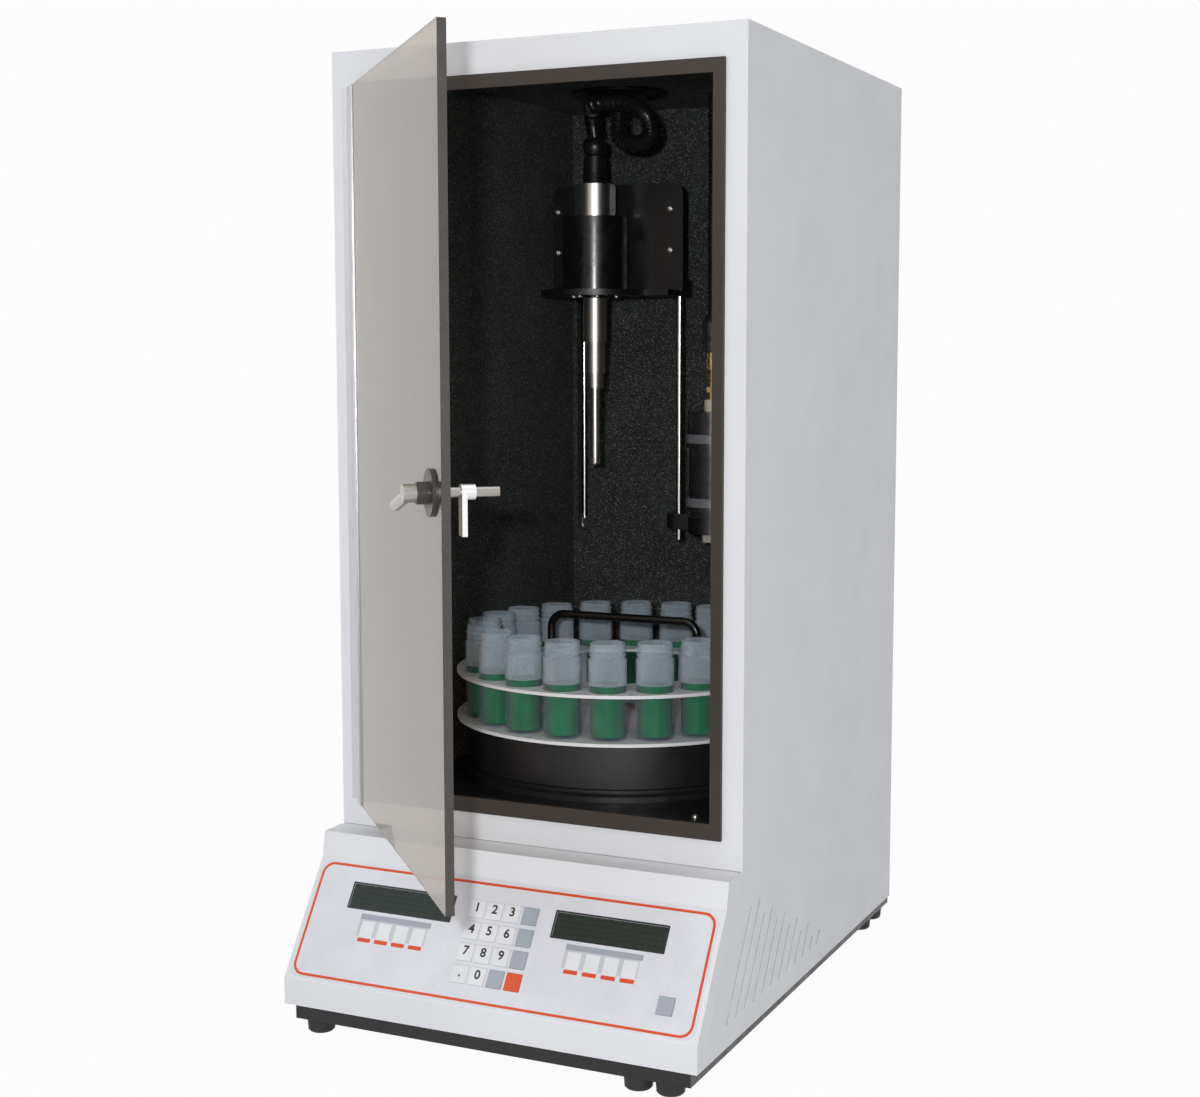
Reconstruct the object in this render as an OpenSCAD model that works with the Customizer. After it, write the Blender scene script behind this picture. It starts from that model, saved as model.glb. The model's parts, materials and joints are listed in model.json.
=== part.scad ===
// Automated probe homogenizer station: a tall sound-lined cabinet with a tinted door,
// a driven carousel of sample jars, a lifting rotor-stator head and a slanted key console.
// Millimetres. X to the right, Y to the rear, Z up, the feet stand on Z = 0.
// Inside the modules the cabinet's front face is Y = 0; place() moves it to the part's frame.

/* [Cabinet] */
// outside width of the cabinet
cabinet_w = 400; // [340:1:480]
// outside depth of the cabinet without its rear cover
cabinet_d = 449; // [430:1:540]
// height of the cabinet's top above the table
cabinet_top = 879; // [860:1:960]
// thickness of the painted sheet
sheet_t = 2; // [1.2:0.1:3]
// width of the frame left of the door opening
frame_left = 41; // [38:0.5:60]
// width of the frame right of the door opening
frame_right = 29; // [28:0.5:50]
// height of the frame above the door opening
frame_top = 41; // [30:0.5:80]
// lower edge of the door opening
opening_bottom = 209; // [207:0.5:230]
// depth of the rear cover pan
rear_cover_d = 27; // [24:1:60]

/* [Console] */
// depth of the ledge in front of the cabinet
ledge_d = 32; // [20:1:50]
// height of the ledge above the table
ledge_z = 169.5; // [150:0.5:190]
// height of the short fascia under the ledge
fascia_h = 22.6; // [10:0.2:40]
// how far the console stands out at its foot
console_d = 101.4; // [80:0.2:130]
// height of the foot of the slanted face
slope_foot_z = 51.2; // [40:0.2:70]
// width of the seam band that wraps round the sides
seam_band = 26; // [15:0.5:40]
// thickness of the printed overlay
overlay_t = 1.2; // [0.8:0.1:2]

/* [Keys] */
// key width
key_w = 14.6; // [10:0.2:16]
// key height along the slope
key_h = 15.4; // [10:0.2:17]
// spacing of the key columns
key_pitch_x = 17.3; // [16:0.1:20]
// spacing of the key rows
key_pitch_v = 19.5; // [18:0.1:22]
// how far a key stands above the overlay
key_proud = 0.8; // [0.6:0.1:2]
// running gap round a key
key_gap = 0.3; // [0.2:0.05:0.6]

/* [Door] */
// how far the door reaches past the right edge of the opening
door_overlap = 26; // [14:1:28]
// how far the door reaches above the opening
door_rise = 7; // [4:0.5:12]
// thickness of the tinted panel
door_t = 7; // [5:0.5:10]
// angle at which the door stands open
door_open = 47.6; // [0:0.1:90]
// distance of the hinge axis from the left edge of the opening
hinge_offset = 16; // [15:0.5:18]
// hinge knuckle radius
knuckle_r = 3.3; // [3.25:0.05:3.5]
// hinge pin radius
pin_r = 1.6; // [1:0.1:2]
// number of hinge knuckles
knuckle_count = 43; // [11:2:43]
// distance of the latch from the right edge of the opening
latch_inset = 8; // [8:0.5:20]
// length of the latch's catch arm
cam_reach = 33; // [20:1:34]
// height of the latch above the lower edge of the door
latch_rise = 312; // [250:1:360]

/* [Carousel] */
// room between the plates and the left lining
plate_gap = 3; // [2:0.5:12]
// room between the plates and the cabinet front
front_gap = 24.5; // [22:0.5:32]
// thickness of the plates
plate_t = 3; // [2:0.5:4]
// height of the lower plate's top face
lower_z = 261; // [250:1:280]
// height of the upper plate's top face
upper_z = 305; // [295:1:320]
// number of jars
jar_count = 20; // [8:1:20]
// distance of the jar circle from the plate's rim
jar_inset = 25; // [24:0.5:30]
// outside radius of a jar
jar_r = 17.5; // [12:0.5:18]
// height of a jar
jar_h = 88; // [60:1:100]
// wall of a jar
jar_wall = 1.5; // [1.2:0.1:2.5]
// angle of the first jar from the rear, to the left
jar_phase = 36.5; // [0:0.5:90]
// how far the black drum stands back under the plates
drum_inset = 12; // [8:1:30]

/* [Head] */
// distance of the motor shelf's top face below the ceiling
shelf_drop = 195; // [192:1:210]
// thickness of the head's plates
head_t = 6; // [4:0.5:8]
// radius of the motor body
motor_r = 33.5; // [28:0.5:34]
// height of the motor body
motor_h = 74; // [60:1:80]
// radius of the aluminium cap
cap_r = 20.5; // [16:0.5:24]
// height of the aluminium cap
cap_h = 33; // [25:1:36]
// length of the probe below the shelf's top face
probe_l = 179; // [165:1:179]
// radius of the slim probe tube
probe_r = 5; // [4:0.25:8]
// room left under the probe when the head is down
tip_room = 11; // [11:1:60]
// lead screw radius
screw_r = 5; // [4:0.5:6]
// guide rod radius
rod_r = 3.75; // [3:0.25:5]

/* [Hidden] */
$fn = 64;
eps = 0.01;
seat = 0.3;
run_fit = 0.06;
half_w = cabinet_w / 2;
opening_left = -half_w + frame_left;
opening_right = half_w - frame_right;
opening_top = cabinet_top - frame_top;
hinge_x = opening_left - hinge_offset;
hinge_z0 = opening_bottom - 14;
door_h = opening_top + door_rise - hinge_z0;
latch_z = hinge_z0 + latch_rise;
floor_z = 25;
foot_h = 13;
base_top = foot_h + 14;
hinge_y = -8;
face_gap = 0.5;
door_w = opening_right + door_overlap - hinge_x;
latch_u = opening_right - latch_inset - hinge_x;
gasket_t = 4;
gasket_w = 11;
deck_z = 205;
roof_gap = 11;
ceil_z = cabinet_top - roof_gap;
foam_t = 6;
side_foam_t = 11;
back_foam_t = 10;
liner_t = 2;
foam_left = opening_left - 2;
foam_right = opening_right + 0.5;
rear_room = 32;
foam_back = cabinet_d - rear_room;
liner_left = foam_left - side_foam_t - seat;
liner_right = foam_right + side_foam_t + seat;
liner_back = foam_back + back_foam_t + seat;
liner_top = ceil_z + foam_t + 0.2;
cam_pocket_y = 30;
rear_y = cabinet_d + rear_cover_d;
front_y = hinge_y - door_w * sin(door_open) - (door_t / 2) * cos(door_open);
inlet_flange_t = 2;
shift_y = -(rear_y + inlet_flange_t + front_y) / 2;

fascia_y = -ledge_d - fascia_h * 0.2;
fascia_z = ledge_z - fascia_h;
slope_dy = console_d + fascia_y;
slope_dz = fascia_z - slope_foot_z;
slope_len = sqrt(slope_dy * slope_dy + slope_dz * slope_dz);
slope_tilt = atan2(slope_dz, slope_dy);
wall = sheet_t;

car_x = (opening_left + opening_right) / 2 - 2;
plate_r = car_x - foam_left - plate_gap;
car_y = plate_r + front_gap;
jar_circle = plate_r - jar_inset;
drum_r = plate_r - drum_inset;
shelf_z = ceil_z - shelf_drop;
probe_tip_z = shelf_z - probe_l;
head_travel = probe_tip_z - lower_z - tip_room;
jar_a = 360 / jar_count;
head_a = jar_phase;
head_x = car_x - jar_circle * sin(head_a);
head_y = car_y + jar_circle * cos(head_a);
disp_a = head_a - 3 * jar_a;
disp_x = car_x - jar_circle * sin(disp_a);
disp_y = car_y + jar_circle * cos(disp_a);
plate_y = head_y + motor_r + seat;
vplate_l = foam_left + 19.2;
vplate_r = car_x + 1.9;
vplate_top = shelf_z + 109;
rod_x = vplate_r - 12;
rod_y = plate_y + head_t + rod_r + 12;
arm_h = 16;
arm_room = 4;
arm_z = shelf_z - head_t - head_travel - arm_room - arm_h;
slot_l = foam_left + 5;
slot_w = 12.5;
tongue_x = slot_l + slot_w / 2;
tongue_t = 6;
tongue_z = shelf_z + 7;
tongue_h = 76;
slot_bottom = tongue_z - head_travel - 47;
slot_top = tongue_z + tongue_h + 12;
rail_y = liner_back + liner_t + 22;
rail_x = [tongue_x - 14, tongue_x + 62];
rail_r = 4;
screw_y = rail_y;
screw_x = tongue_x + 24;
block_d = 22;
block_h = 60;
block_z = tongue_z + 8;
lift_low_z = slot_bottom + 1;
lift_high_z = slot_top + 32;

// helpers

module place() {
    translate([0, shift_y, 0]) children();
}

module block(lo, hi) {
    translate(lo) cube(hi - lo);
}

module rod(x, y, z0, z1, r) {
    translate([x, y, z0]) cylinder(r = r, h = z1 - z0);
}

// a plate in the XZ plane with rounded corners, from y0 to y0 + t
module face_plate(x0, x1, z0, z1, y0, t, r) {
    translate([0, y0 + t, 0]) rotate([90, 0, 0]) linear_extrude(t) round_rect(x0, x1, z0, z1, r);
}

// the four corner circles and two bars of a rounded rectangle
module round_rect(x0, x1, y0, y1, r) {
    translate([x0 + r, y0]) square([x1 - x0 - 2 * r, y1 - y0]);
    translate([x0, y0 + r]) square([x1 - x0, y1 - y0 - 2 * r]);
    for (x = [x0 + r, x1 - r])
        for (y = [y0 + r, y1 - r])
            translate([x, y]) circle(r = r, $fn = 32);
}

// the slanted face's own frame: x across, y up the slope from its foot, z outward
module on_slope() {
    translate([0, -console_d, slope_foot_z]) rotate([slope_tilt, 0, 0]) children();
}

// the door's own frame, closed: x from the hinge axis, y inward, z from the table
module on_door() {
    translate([hinge_x, hinge_y, 0]) rotate([0, 0, -door_open]) children();
}

// base and feet

foot_spots = [
    [-half_w + 25, -80], [half_w - 61, -80], [half_w - 32, -80],
    [half_w - 23, rear_y - 64], [half_w - 23, rear_y - 24], [-half_w + 25, rear_y - 24]
];

module base_plate() color([0.06, 0.06, 0.07]) place() difference() {
    block([-half_w + 8, -console_d + 6, foot_h], [half_w - 8, rear_y - 6, base_top]);
    block([-half_w + 11, -console_d + 9, foot_h + 3], [half_w - 11, rear_y - 9, base_top + eps]);
    for (p = foot_spots)
        translate([p[0], p[1], foot_h - eps]) cylinder(r = 2.3, h = 4);
}

module rubber_feet() color([0.05, 0.05, 0.05]) place() {
    for (p = foot_spots)
        translate([p[0], p[1], 0]) rotate_extrude()
            polygon([[0, 0], [10.5, 0], [12, 1.5], [13, foot_h], [2.2, foot_h], [2.2, foot_h + 3], [0, foot_h + 3]]);
}

// cabinet

seam = [
    [-wall, ledge_z], [fascia_y + seam_band, fascia_z],
    [-console_d + seam_band, slope_foot_z], [-console_d + seam_band, base_top + seat]
];

module side_sheet() {
    polygon([
        [cabinet_d, base_top + seat], [cabinet_d, cabinet_top], [0, cabinet_top], [0, ledge_z + seat],
        [0, ledge_z], seam[1], seam[2], seam[3]
    ]);
}

module louvres() {
    lean = slope_dy / slope_dz;
    for (i = [0:11]) {
        top = 134 - 15 * floor(i / 2);
        y0 = -38 + 21.7 * i;
        polygon([[y0, 47], [y0 + 4, 47], [y0 + 4 + (top - 47) * lean, top], [y0 + (top - 47) * lean, top]]);
    }
}

frame_w = 18;
module cabinet_shell() color([0.90, 0.91, 0.93]) place() {
    difference() {
        union() {
            for (x = [-half_w, half_w - sheet_t])
                translate([x, 0, 0]) rotate([90, 0, 90]) linear_extrude(sheet_t) difference() {
                    side_sheet();
                    louvres();
                }
            block([-half_w, 0, cabinet_top - sheet_t], [half_w, cabinet_d, cabinet_top]);
            block([-half_w, 0, ledge_z + seat], [half_w, sheet_t, cabinet_top]);
            for (x = [-half_w, half_w - frame_w])
                block([x, seam[3][0], base_top + seat], [x + frame_w, cabinet_d, base_top + seat + sheet_t]);
            difference() {
                block([-half_w, cabinet_d - sheet_t, base_top + seat], [half_w, cabinet_d, cabinet_top]);
                block(
                    [-half_w + frame_w, cabinet_d - sheet_t - 1, base_top + frame_w],
                    [half_w - frame_w, cabinet_d + 1, cabinet_top - frame_w]
                );
            }
        }
        block(
            [opening_left - 4, -1, opening_bottom - 6],
            [opening_right + 3, sheet_t + 1, opening_top + 4]
        );
    }
}

module back_panel() color([0.88, 0.89, 0.91]) place() difference() {
    block([-half_w + 12, cabinet_d + eps, base_top + 12], [half_w - 12, rear_y, cabinet_top - 12]);
    block(
        [-half_w + 12 + sheet_t, cabinet_d - 1, base_top + 12 + sheet_t],
        [half_w - 12 - sheet_t, rear_y - sheet_t, cabinet_top - 12 - sheet_t]
    );
    block([inlet_x - 14, rear_y - 5, inlet_z - 10.5], [inlet_x + 14, rear_y + 1, inlet_z + 10.5]);
    for (i = [0:8])
        block([20, rear_y - 5, 90 + 12 * i], [140, rear_y + 1, 94 + 12 * i]);
}

inlet_x = -110;
inlet_z = 90;
module power_inlet() color([0.05, 0.05, 0.05]) place() difference() {
    union() {
        face_plate(inlet_x - 24, inlet_x + 24, inlet_z - 14, inlet_z + 14, rear_y + eps, inlet_flange_t - eps, 3);
        block([inlet_x - 13.7, rear_y - 22, inlet_z - 10.2], [inlet_x + 13.7, rear_y + 1, inlet_z + 10.2]);
    }
    block([inlet_x - 11.7, rear_y - 16, inlet_z - 8.2], [inlet_x + 11.7, rear_y + 3, inlet_z + 8.2]);
}

// console

module console_profile(in) {
    polygon([
        [-in * 0.2 + 0, ledge_z - in], [-ledge_d + in, ledge_z - in], [fascia_y + in, fascia_z - in * 0.4],
        [-console_d + in, slope_foot_z - in * 0.4], [-console_d + in, base_top + seat - (in > 0 ? 1 : 0)],
        [0 - in * 0.2, base_top + seat - (in > 0 ? 1 : 0)]
    ]);
}

module console_housing() color([0.91, 0.92, 0.94]) place() difference() {
    translate([-half_w, 0, 0]) rotate([90, 0, 90]) linear_extrude(cabinet_w) console_profile(0);
    // hollow inside
    translate([-half_w + sheet_t, 0, 0]) rotate([90, 0, 90]) linear_extrude(cabinet_w - 2 * sheet_t)
        console_profile(wall);
    block([-half_w + sheet_t, -10, base_top - 5], [half_w - sheet_t, 5, ledge_z - 5]);
    // the sides stop at the seam
    for (x = [-half_w - 1, half_w - sheet_t - 1])
        translate([x, 0, 0]) rotate([90, 0, 90]) linear_extrude(sheet_t + 2)
            polygon([
                [5, ledge_z + 1], [seam[0][0] - seat, ledge_z + 1], [seam[0][0] - seat, ledge_z],
                [seam[1][0] - seat, seam[1][1]], [seam[2][0] - seat, seam[2][1]],
                [seam[3][0] - seat, seam[3][1] - 5], [5, seam[3][1] - 5]
            ]);
    // display windows and keys pass through
    on_slope() {
        for (x = display_x)
            block([x - display_w / 2 + 1, display_v - 10, -4], [x + display_w / 2 - 1, display_v + 10, 1]);
        for (k = key_list)
            block(
                [k[0] - key_w / 2 + 1.5, k[1] - key_h / 2 + 1.5, -6],
                [k[0] + key_w / 2 - 1.5, k[1] + key_h / 2 - 1.5, 1]
            );
    }
}

// places on the slanted face, measured up from its foot
display_x = [-104, 101];
display_w = 104;
display_h = 22;
display_v = slope_len - 32.5;
col0 = -27.5;
row0 = slope_len - 29.4;
start_x = 165.8;
key_list = [
    for (r = [0:3]) for (c = [0:3]) [col0 + c * key_pitch_x, row0 - r * key_pitch_v],
    [start_x, slope_len - 87.3]
];

module control_overlay() color([0.88, 0.89, 0.92]) place() on_slope() difference() {
    linear_extrude(overlay_t) difference() {
        round_rect(-half_w + 4, half_w - 4, 3, slope_len - 3, 10);
        for (x = display_x)
            translate([x - display_w / 2, display_v - display_h / 2]) square([display_w, display_h]);
        for (k = key_list)
            translate([k[0] - key_w / 2 - key_gap, k[1] - key_h / 2 - key_gap])
                square([key_w + 2 * key_gap, key_h + 2 * key_gap]);
    }
    // shallow wells of the eight display keys
    for (x = display_x)
        for (i = [0:3])
            for (s = [0:1])
                block(
                    [x - 35 + 17.5 * i, display_v - 33 + 7.5 * s, overlay_t - 0.3],
                    [x - 22 + 17.5 * i, display_v - 27 + 8.5 * s, overlay_t + 1]
                );
}

module displays() color([0.10, 0.13, 0.11]) place() on_slope() {
    for (x = display_x) {
        block(
            [x - display_w / 2 + seat, display_v - display_h / 2 + seat, 0],
            [x + display_w / 2 - seat, display_v + display_h / 2 - seat, overlay_t - 0.4]
        );
        block([x - display_w / 2 + 4, display_v - 9.5, -3], [x + display_w / 2 - 4, display_v + 9.5, 0.2]);
    }
}

// a key cap with its stem through the housing
module key(i) place() on_slope() translate([key_list[i][0], key_list[i][1], 0]) {
    rise = overlay_t + key_proud;
    travel_gap = 0.6;
    translate([-key_w / 2, -key_h / 2, travel_gap]) cube([key_w, key_h, rise - travel_gap - 0.3]);
    translate([-key_w / 2 + 0.5, -key_h / 2 + 0.5, rise - 0.3]) cube([key_w - 1, key_h - 1, 0.3]);
    translate([-key_w / 2 + 2, -key_h / 2 + 2, -3]) cube([key_w - 4, key_h - 4, 3 + travel_gap + eps]);
}

// door gasket and lining

module door_gasket() color([0.20, 0.16, 0.13]) place() difference() {
    block(
        [opening_left - gasket_w, -gasket_t, opening_bottom - gasket_w - 3],
        [opening_right + gasket_w - 1, -eps, opening_top + gasket_w + 1]
    );
    block(
        [opening_left, -gasket_t - 1, opening_bottom],
        [opening_right, 1, opening_top]
    );
}

module slot_cut(y0, y1) {
    block([slot_l, y0, slot_bottom + slot_w / 2], [slot_l + slot_w, y1, slot_top - slot_w / 2]);
    for (z = [slot_bottom + slot_w / 2, slot_top - slot_w / 2])
        translate([slot_l + slot_w / 2, y0, z]) rotate([-90, 0, 0]) cylinder(r = slot_w / 2, h = y1 - y0);
}

module chamber_liner() color([0.07, 0.07, 0.08]) place() difference() {
    block(
        [liner_left - liner_t, sheet_t + seat, deck_z - liner_t],
        [liner_right + liner_t, liner_back + liner_t, liner_top + liner_t]
    );
    block([liner_left, 0, deck_z], [liner_right, liner_back, liner_top]);
    // strike opening behind the frame for the latch
    block([liner_right - 1, -1, latch_z - 46], [liner_right + 5, cam_pocket_y, latch_z + 46]);
    slot_cut(liner_back - 1, liner_back + liner_t + 1);
    translate([port_x, port_y, liner_top - 1]) cylinder(r = 14, h = 8);
    translate([car_x, car_y, deck_z - 6]) cylinder(r = 22, h = 12);
    translate([disp_x, disp_y, liner_top - 1]) cylinder(r = hose_r + 0.6, h = 8);
}

module foam_lining() color([0.13, 0.14, 0.14]) place() difference() {
    union() {
        block([foam_left - side_foam_t, 8, deck_z + eps], [foam_left, foam_back - seat, ceil_z - seat]);
        block([foam_right, cam_pocket_y, deck_z + eps], [foam_right + side_foam_t, foam_back - seat, ceil_z - seat]);
        block([foam_left - side_foam_t, foam_back, deck_z + eps], [foam_right + side_foam_t, foam_back + back_foam_t, ceil_z - seat]);
        block([foam_left - side_foam_t, 8, ceil_z], [foam_right + side_foam_t, foam_back + back_foam_t, ceil_z + foam_t]);
    }
    slot_cut(foam_back - 1, foam_back + back_foam_t + 1);
    translate([port_x, port_y, ceil_z - 1]) cylinder(r = 14, h = 8);
    translate([disp_x, disp_y, ceil_z - 1]) cylinder(r = hose_r + 0.6, h = 8);
    translate([car_x, car_y, deck_z - 1]) cylinder(r = 26, h = 4);
}

// hinge

knuckle_h = door_h / knuckle_count;
module knuckles(odd) {
    for (i = [odd:2:knuckle_count - 1])
        translate([0, 0, hinge_z0 + i * knuckle_h + 0.2]) cylinder(r = knuckle_r, h = knuckle_h - 0.4);
}

module hinge_fixed_leaf() color([0.85, 0.85, 0.86]) place() translate([hinge_x, hinge_y, 0]) {
    difference() {
        union() {
            knuckles(0);
            for (i = [0:2:knuckle_count - 1])
                block(
                    [-knuckle_r, 0, hinge_z0 + i * knuckle_h + 0.2],
                    [-knuckle_r + 1.2, -hinge_y - 1.2 + eps, hinge_z0 + (i + 1) * knuckle_h - 0.2]
                );
            block([-knuckle_r - 11, -hinge_y - 1.2, hinge_z0], [-knuckle_r + 1.2, -hinge_y - eps, hinge_z0 + door_h]);
        }
    }
}

module hinge_door_leaf() color([0.85, 0.85, 0.86]) place() on_door() difference() {
    union() {
        knuckles(1);
        for (i = [1:2:knuckle_count - 1])
            block(
                [0, -knuckle_r, hinge_z0 + i * knuckle_h + 0.2],
                [knuckle_r + 2, -knuckle_r + 1.2, hinge_z0 + (i + 1) * knuckle_h - 0.2]
            );
        block(
            [knuckle_r + 0.8, -door_t / 2 - 1.2, hinge_z0],
            [knuckle_r + 14, -door_t / 2 - eps, hinge_z0 + door_h]
        );
        block([knuckle_r + 0.8, -door_t / 2 - 1.2, hinge_z0], [knuckle_r + 2, -knuckle_r + 1.2, hinge_z0 + door_h]);
    }
    translate([0, 0, hinge_z0 - 1]) cylinder(r = pin_r + run_fit, h = door_h + 2, $fn = 32);
}

module door_panel() color([0.45, 0.42, 0.40, 0.45]) place() on_door() difference() {
    block([knuckle_r + 2.2, -door_t / 2, hinge_z0], [door_w, door_t / 2, hinge_z0 + door_h]);
    translate([latch_u, 0, latch_z]) rotate([90, 0, 0]) cylinder(r = shaft_r + 2, h = door_t + 2, center = true);
}

// latch: lever and shaft, cam arm and catch rod

shaft_r = 4;
rosette_r = 18;
module latch_rosette() color([0.55, 0.55, 0.56]) place() on_door() translate([latch_u, 0, latch_z]) difference() {
    union() {
        translate([0, -door_t / 2 - eps, 0]) rotate([90, 0, 0]) cylinder(r = rosette_r, h = 2.5);
        translate([0, -door_t / 2 - 2.5, 0]) rotate([90, 0, 0]) cylinder(r = 8.5, h = 9);
        translate([0, door_t / 2 + 1, 0]) rotate([90, 0, 0]) cylinder(r = shaft_r + 1.7, h = door_t + 2);
        translate([0, door_t / 2 + 3, 0]) rotate([90, 0, 0]) cylinder(r = shaft_r + 2.8, h = 3 - eps);
    }
    rotate([90, 0, 0]) cylinder(r = shaft_r + run_fit, h = 60, center = true);
}

module latch_lever() color([0.62, 0.62, 0.63]) place() on_door() translate([latch_u, 0, latch_z]) {
    lever_y = -door_t / 2 - 11.8;
    translate([0, 48, 0]) rotate([90, 0, 0]) cylinder(r = shaft_r, h = 48 - lever_y);
    translate([0, lever_y, 0]) rotate([90, 0, 0]) cylinder(r = 7, h = 10);
    translate([0, lever_y - 5, 0]) rotate([0, -104, 0]) cylinder(r1 = 4.6, r2 = 4.6, h = 52);
    translate([0, lever_y - 5, 0]) rotate([0, -104, 0]) translate([0, 0, 52]) sphere(r = 4.6);
}

module latch_cam() color([0.80, 0.80, 0.81]) place() on_door() translate([latch_u, door_t / 2 + 15, latch_z]) difference() {
    union() {
        rotate([-90, 0, 0]) cylinder(r = shaft_r + 2, h = 11);
        block([-shaft_r - 2, 0, -cam_reach], [shaft_r + 2, 4, 0]);
    }
    translate([0, -1, 0]) rotate([-90, 0, 0]) cylinder(r = shaft_r + 0.03, h = 20);
}

// carousel

module carousel_drum() color([0.08, 0.08, 0.09]) place() translate([car_x, car_y, 0]) rotate_extrude($fn = 128)
    polygon([
        [24, deck_z + eps], [drum_r + 2, deck_z + eps], [drum_r + 2, deck_z + 5], [drum_r - 3, deck_z + 7],
        [drum_r - 3, deck_z + 10], [drum_r, deck_z + 12], [drum_r, lower_z - plate_t - 1.5],
        [drum_r - 7, lower_z - plate_t - 1.5], [drum_r - 7, deck_z + 3], [24, deck_z + 3]
    ]);

hub_r = 16;
module turntable_motor() color([0.25, 0.26, 0.28]) place() translate([car_x, car_y, 0]) {
    block([-30, -30, 130], [30, 30, deck_z - liner_t - eps]);
    rod(0, 0, deck_z - 10, deck_z + 12, 5);
}

module turntable_hub() color([0.70, 0.71, 0.72]) place() translate([car_x, car_y, 0]) difference() {
    union() {
        rod(0, 0, deck_z + 4, lower_z - plate_t - eps, hub_r);
        rod(0, 0, lower_z - plate_t - 6, lower_z - plate_t - eps, 60);
        rod(0, 0, lower_z - plate_t - 1, lower_z + 5, 12);
    }
    rod(0, 0, deck_z - 1, deck_z + 16, 5 + run_fit);
}

post_count = 8;
post_r = 4;
post_circle = 112;
module lower_plate() color([0.90, 0.91, 0.92]) place() translate([car_x, car_y, 0]) difference() {
    rod(0, 0, lower_z - plate_t, lower_z, plate_r, $fn = 128);
    rod(0, 0, lower_z - plate_t - 1, lower_z + 1, 12 + 0.05);
}

module upper_plate() color([0.90, 0.91, 0.92]) place() translate([car_x, car_y, 0]) {
    difference() {
        rod(0, 0, upper_z - plate_t, upper_z, plate_r, $fn = 128);
        rod(0, 0, upper_z - plate_t - 1, upper_z + 1, 100);
        for (i = [0:jar_count - 1])
            rotate([0, 0, jar_phase + i * jar_a]) rod(0, jar_circle, upper_z - plate_t - 1, upper_z + 1, jar_r + seat);
    }
    for (i = [0:post_count - 1])
        rotate([0, 0, jar_phase + jar_a / 2 + i * 5 * jar_a / 2 - (i % 2) * jar_a / 2])
            rod(0, post_circle, lower_z + eps, upper_z - plate_t + eps, post_r);
}

handle_half = 78;
handle_top = upper_z + 47;
handle_r = 4;
bend_r = 14;
module carry_handle() color([0.04, 0.04, 0.04]) place() translate([car_x, car_y, 0]) {
    for (s = [-1, 1]) {
        rod(s * handle_half, 0, lower_z + 2, handle_top - bend_r, handle_r);
        rod(s * handle_half, 0, lower_z + eps, lower_z + 3, 8);
        translate([s * (handle_half - bend_r), 0, handle_top - bend_r]) rotate([90, 0, s > 0 ? 0 : 180])
            rotate_extrude(angle = 90) translate([bend_r, 0]) circle(r = handle_r, $fn = 32);
    }
    translate([-handle_half + bend_r, 0, handle_top]) rotate([0, 90, 0])
        cylinder(r = handle_r, h = 2 * (handle_half - bend_r), $fn = 32);
}

module jar() rotate_extrude($fn = 48) polygon([
    [0, 0], [jar_r - 1, 0], [jar_r, 1], [jar_r, jar_h - 15], [jar_r - 1.6, jar_h - 13.5],
    [jar_r - 1.6, jar_h - 12], [jar_r - 0.6, jar_h - 11.4], [jar_r - 0.6, jar_h - 10.4], [jar_r - 1.6, jar_h - 9.8],
    [jar_r - 1.6, jar_h - 7], [jar_r - 0.6, jar_h - 6.4], [jar_r - 0.6, jar_h - 5.4], [jar_r - 1.6, jar_h - 4.8],
    [jar_r - 1.6, jar_h], [jar_r - 1.6 - jar_wall, jar_h], [jar_r - 1.6 - jar_wall, jar_h - 14],
    [jar_r - jar_wall, jar_h - 16], [jar_r - jar_wall, 3], [jar_r - jar_wall - 1, 2], [0, 2]
]);

module sample_jars() color([0.86, 0.90, 0.92, 0.5]) place() translate([car_x, car_y, lower_z + eps]) {
    for (i = [0:jar_count - 1])
        rotate([0, 0, jar_phase + i * jar_a]) translate([0, jar_circle, 0]) jar();
}

// lifting head

module head_plate() color([0.05, 0.05, 0.06]) place() difference() {
    union() {
        face_plate(vplate_l, vplate_r, shelf_z - head_t, vplate_top, plate_y, head_t, 10);
        // return flange and tongue that reach through the wall's slot
        block([vplate_l, plate_y + head_t - eps, tongue_z], [vplate_l + head_t, foam_back - 8, tongue_z + tongue_h]);
        block([tongue_x - tongue_t / 2, foam_back - 8 - head_t, tongue_z], [vplate_l + head_t, foam_back - 8, tongue_z + tongue_h]);
        block([tongue_x - tongue_t / 2, foam_back - 8 - head_t, tongue_z], [tongue_x + tongue_t / 2, rail_y - block_d / 2, tongue_z + tongue_h]);
        // rear bush boss that runs on the guide rod
        block([rod_x - 8, plate_y + head_t - eps, shelf_z - head_t], [rod_x + 8, rod_y + 8, shelf_z + 12]);
    }
    rod(rod_x, rod_y, shelf_z - head_t - 1, shelf_z + 13, rod_r + run_fit);
}

module motor_shelf() color([0.05, 0.05, 0.06]) place() difference() {
    translate([0, 0, shelf_z - head_t]) linear_extrude(head_t - eps) difference() {
        union() {
            translate([head_x, head_y]) circle(r = 56, $fn = 96);
            translate([vplate_l + 2, head_y]) square([vplate_r - vplate_l - 4, plate_y - head_y - eps]);
        }
        translate([head_x - 80, plate_y - eps]) square([2 * 80, 60]);
    }
    translate([head_x, head_y, shelf_z - head_t - 1]) cylinder(r = 14.05, h = head_t + 2);
}

module motor_body() color([0.06, 0.06, 0.07]) place() translate([head_x, head_y, 0]) difference() {
    union() {
        rod(0, 0, shelf_z, shelf_z + motor_h - 1, motor_r, $fn = 96);
        rod(0, 0, shelf_z + motor_h - 1 - eps, shelf_z + motor_h, motor_r - 1, $fn = 96);
        rod(0, 0, shelf_z - head_t - 2, shelf_z + 1, 14);
    }
    rod(0, 0, shelf_z - 10, shelf_z + 20, 3.5);
}

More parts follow.
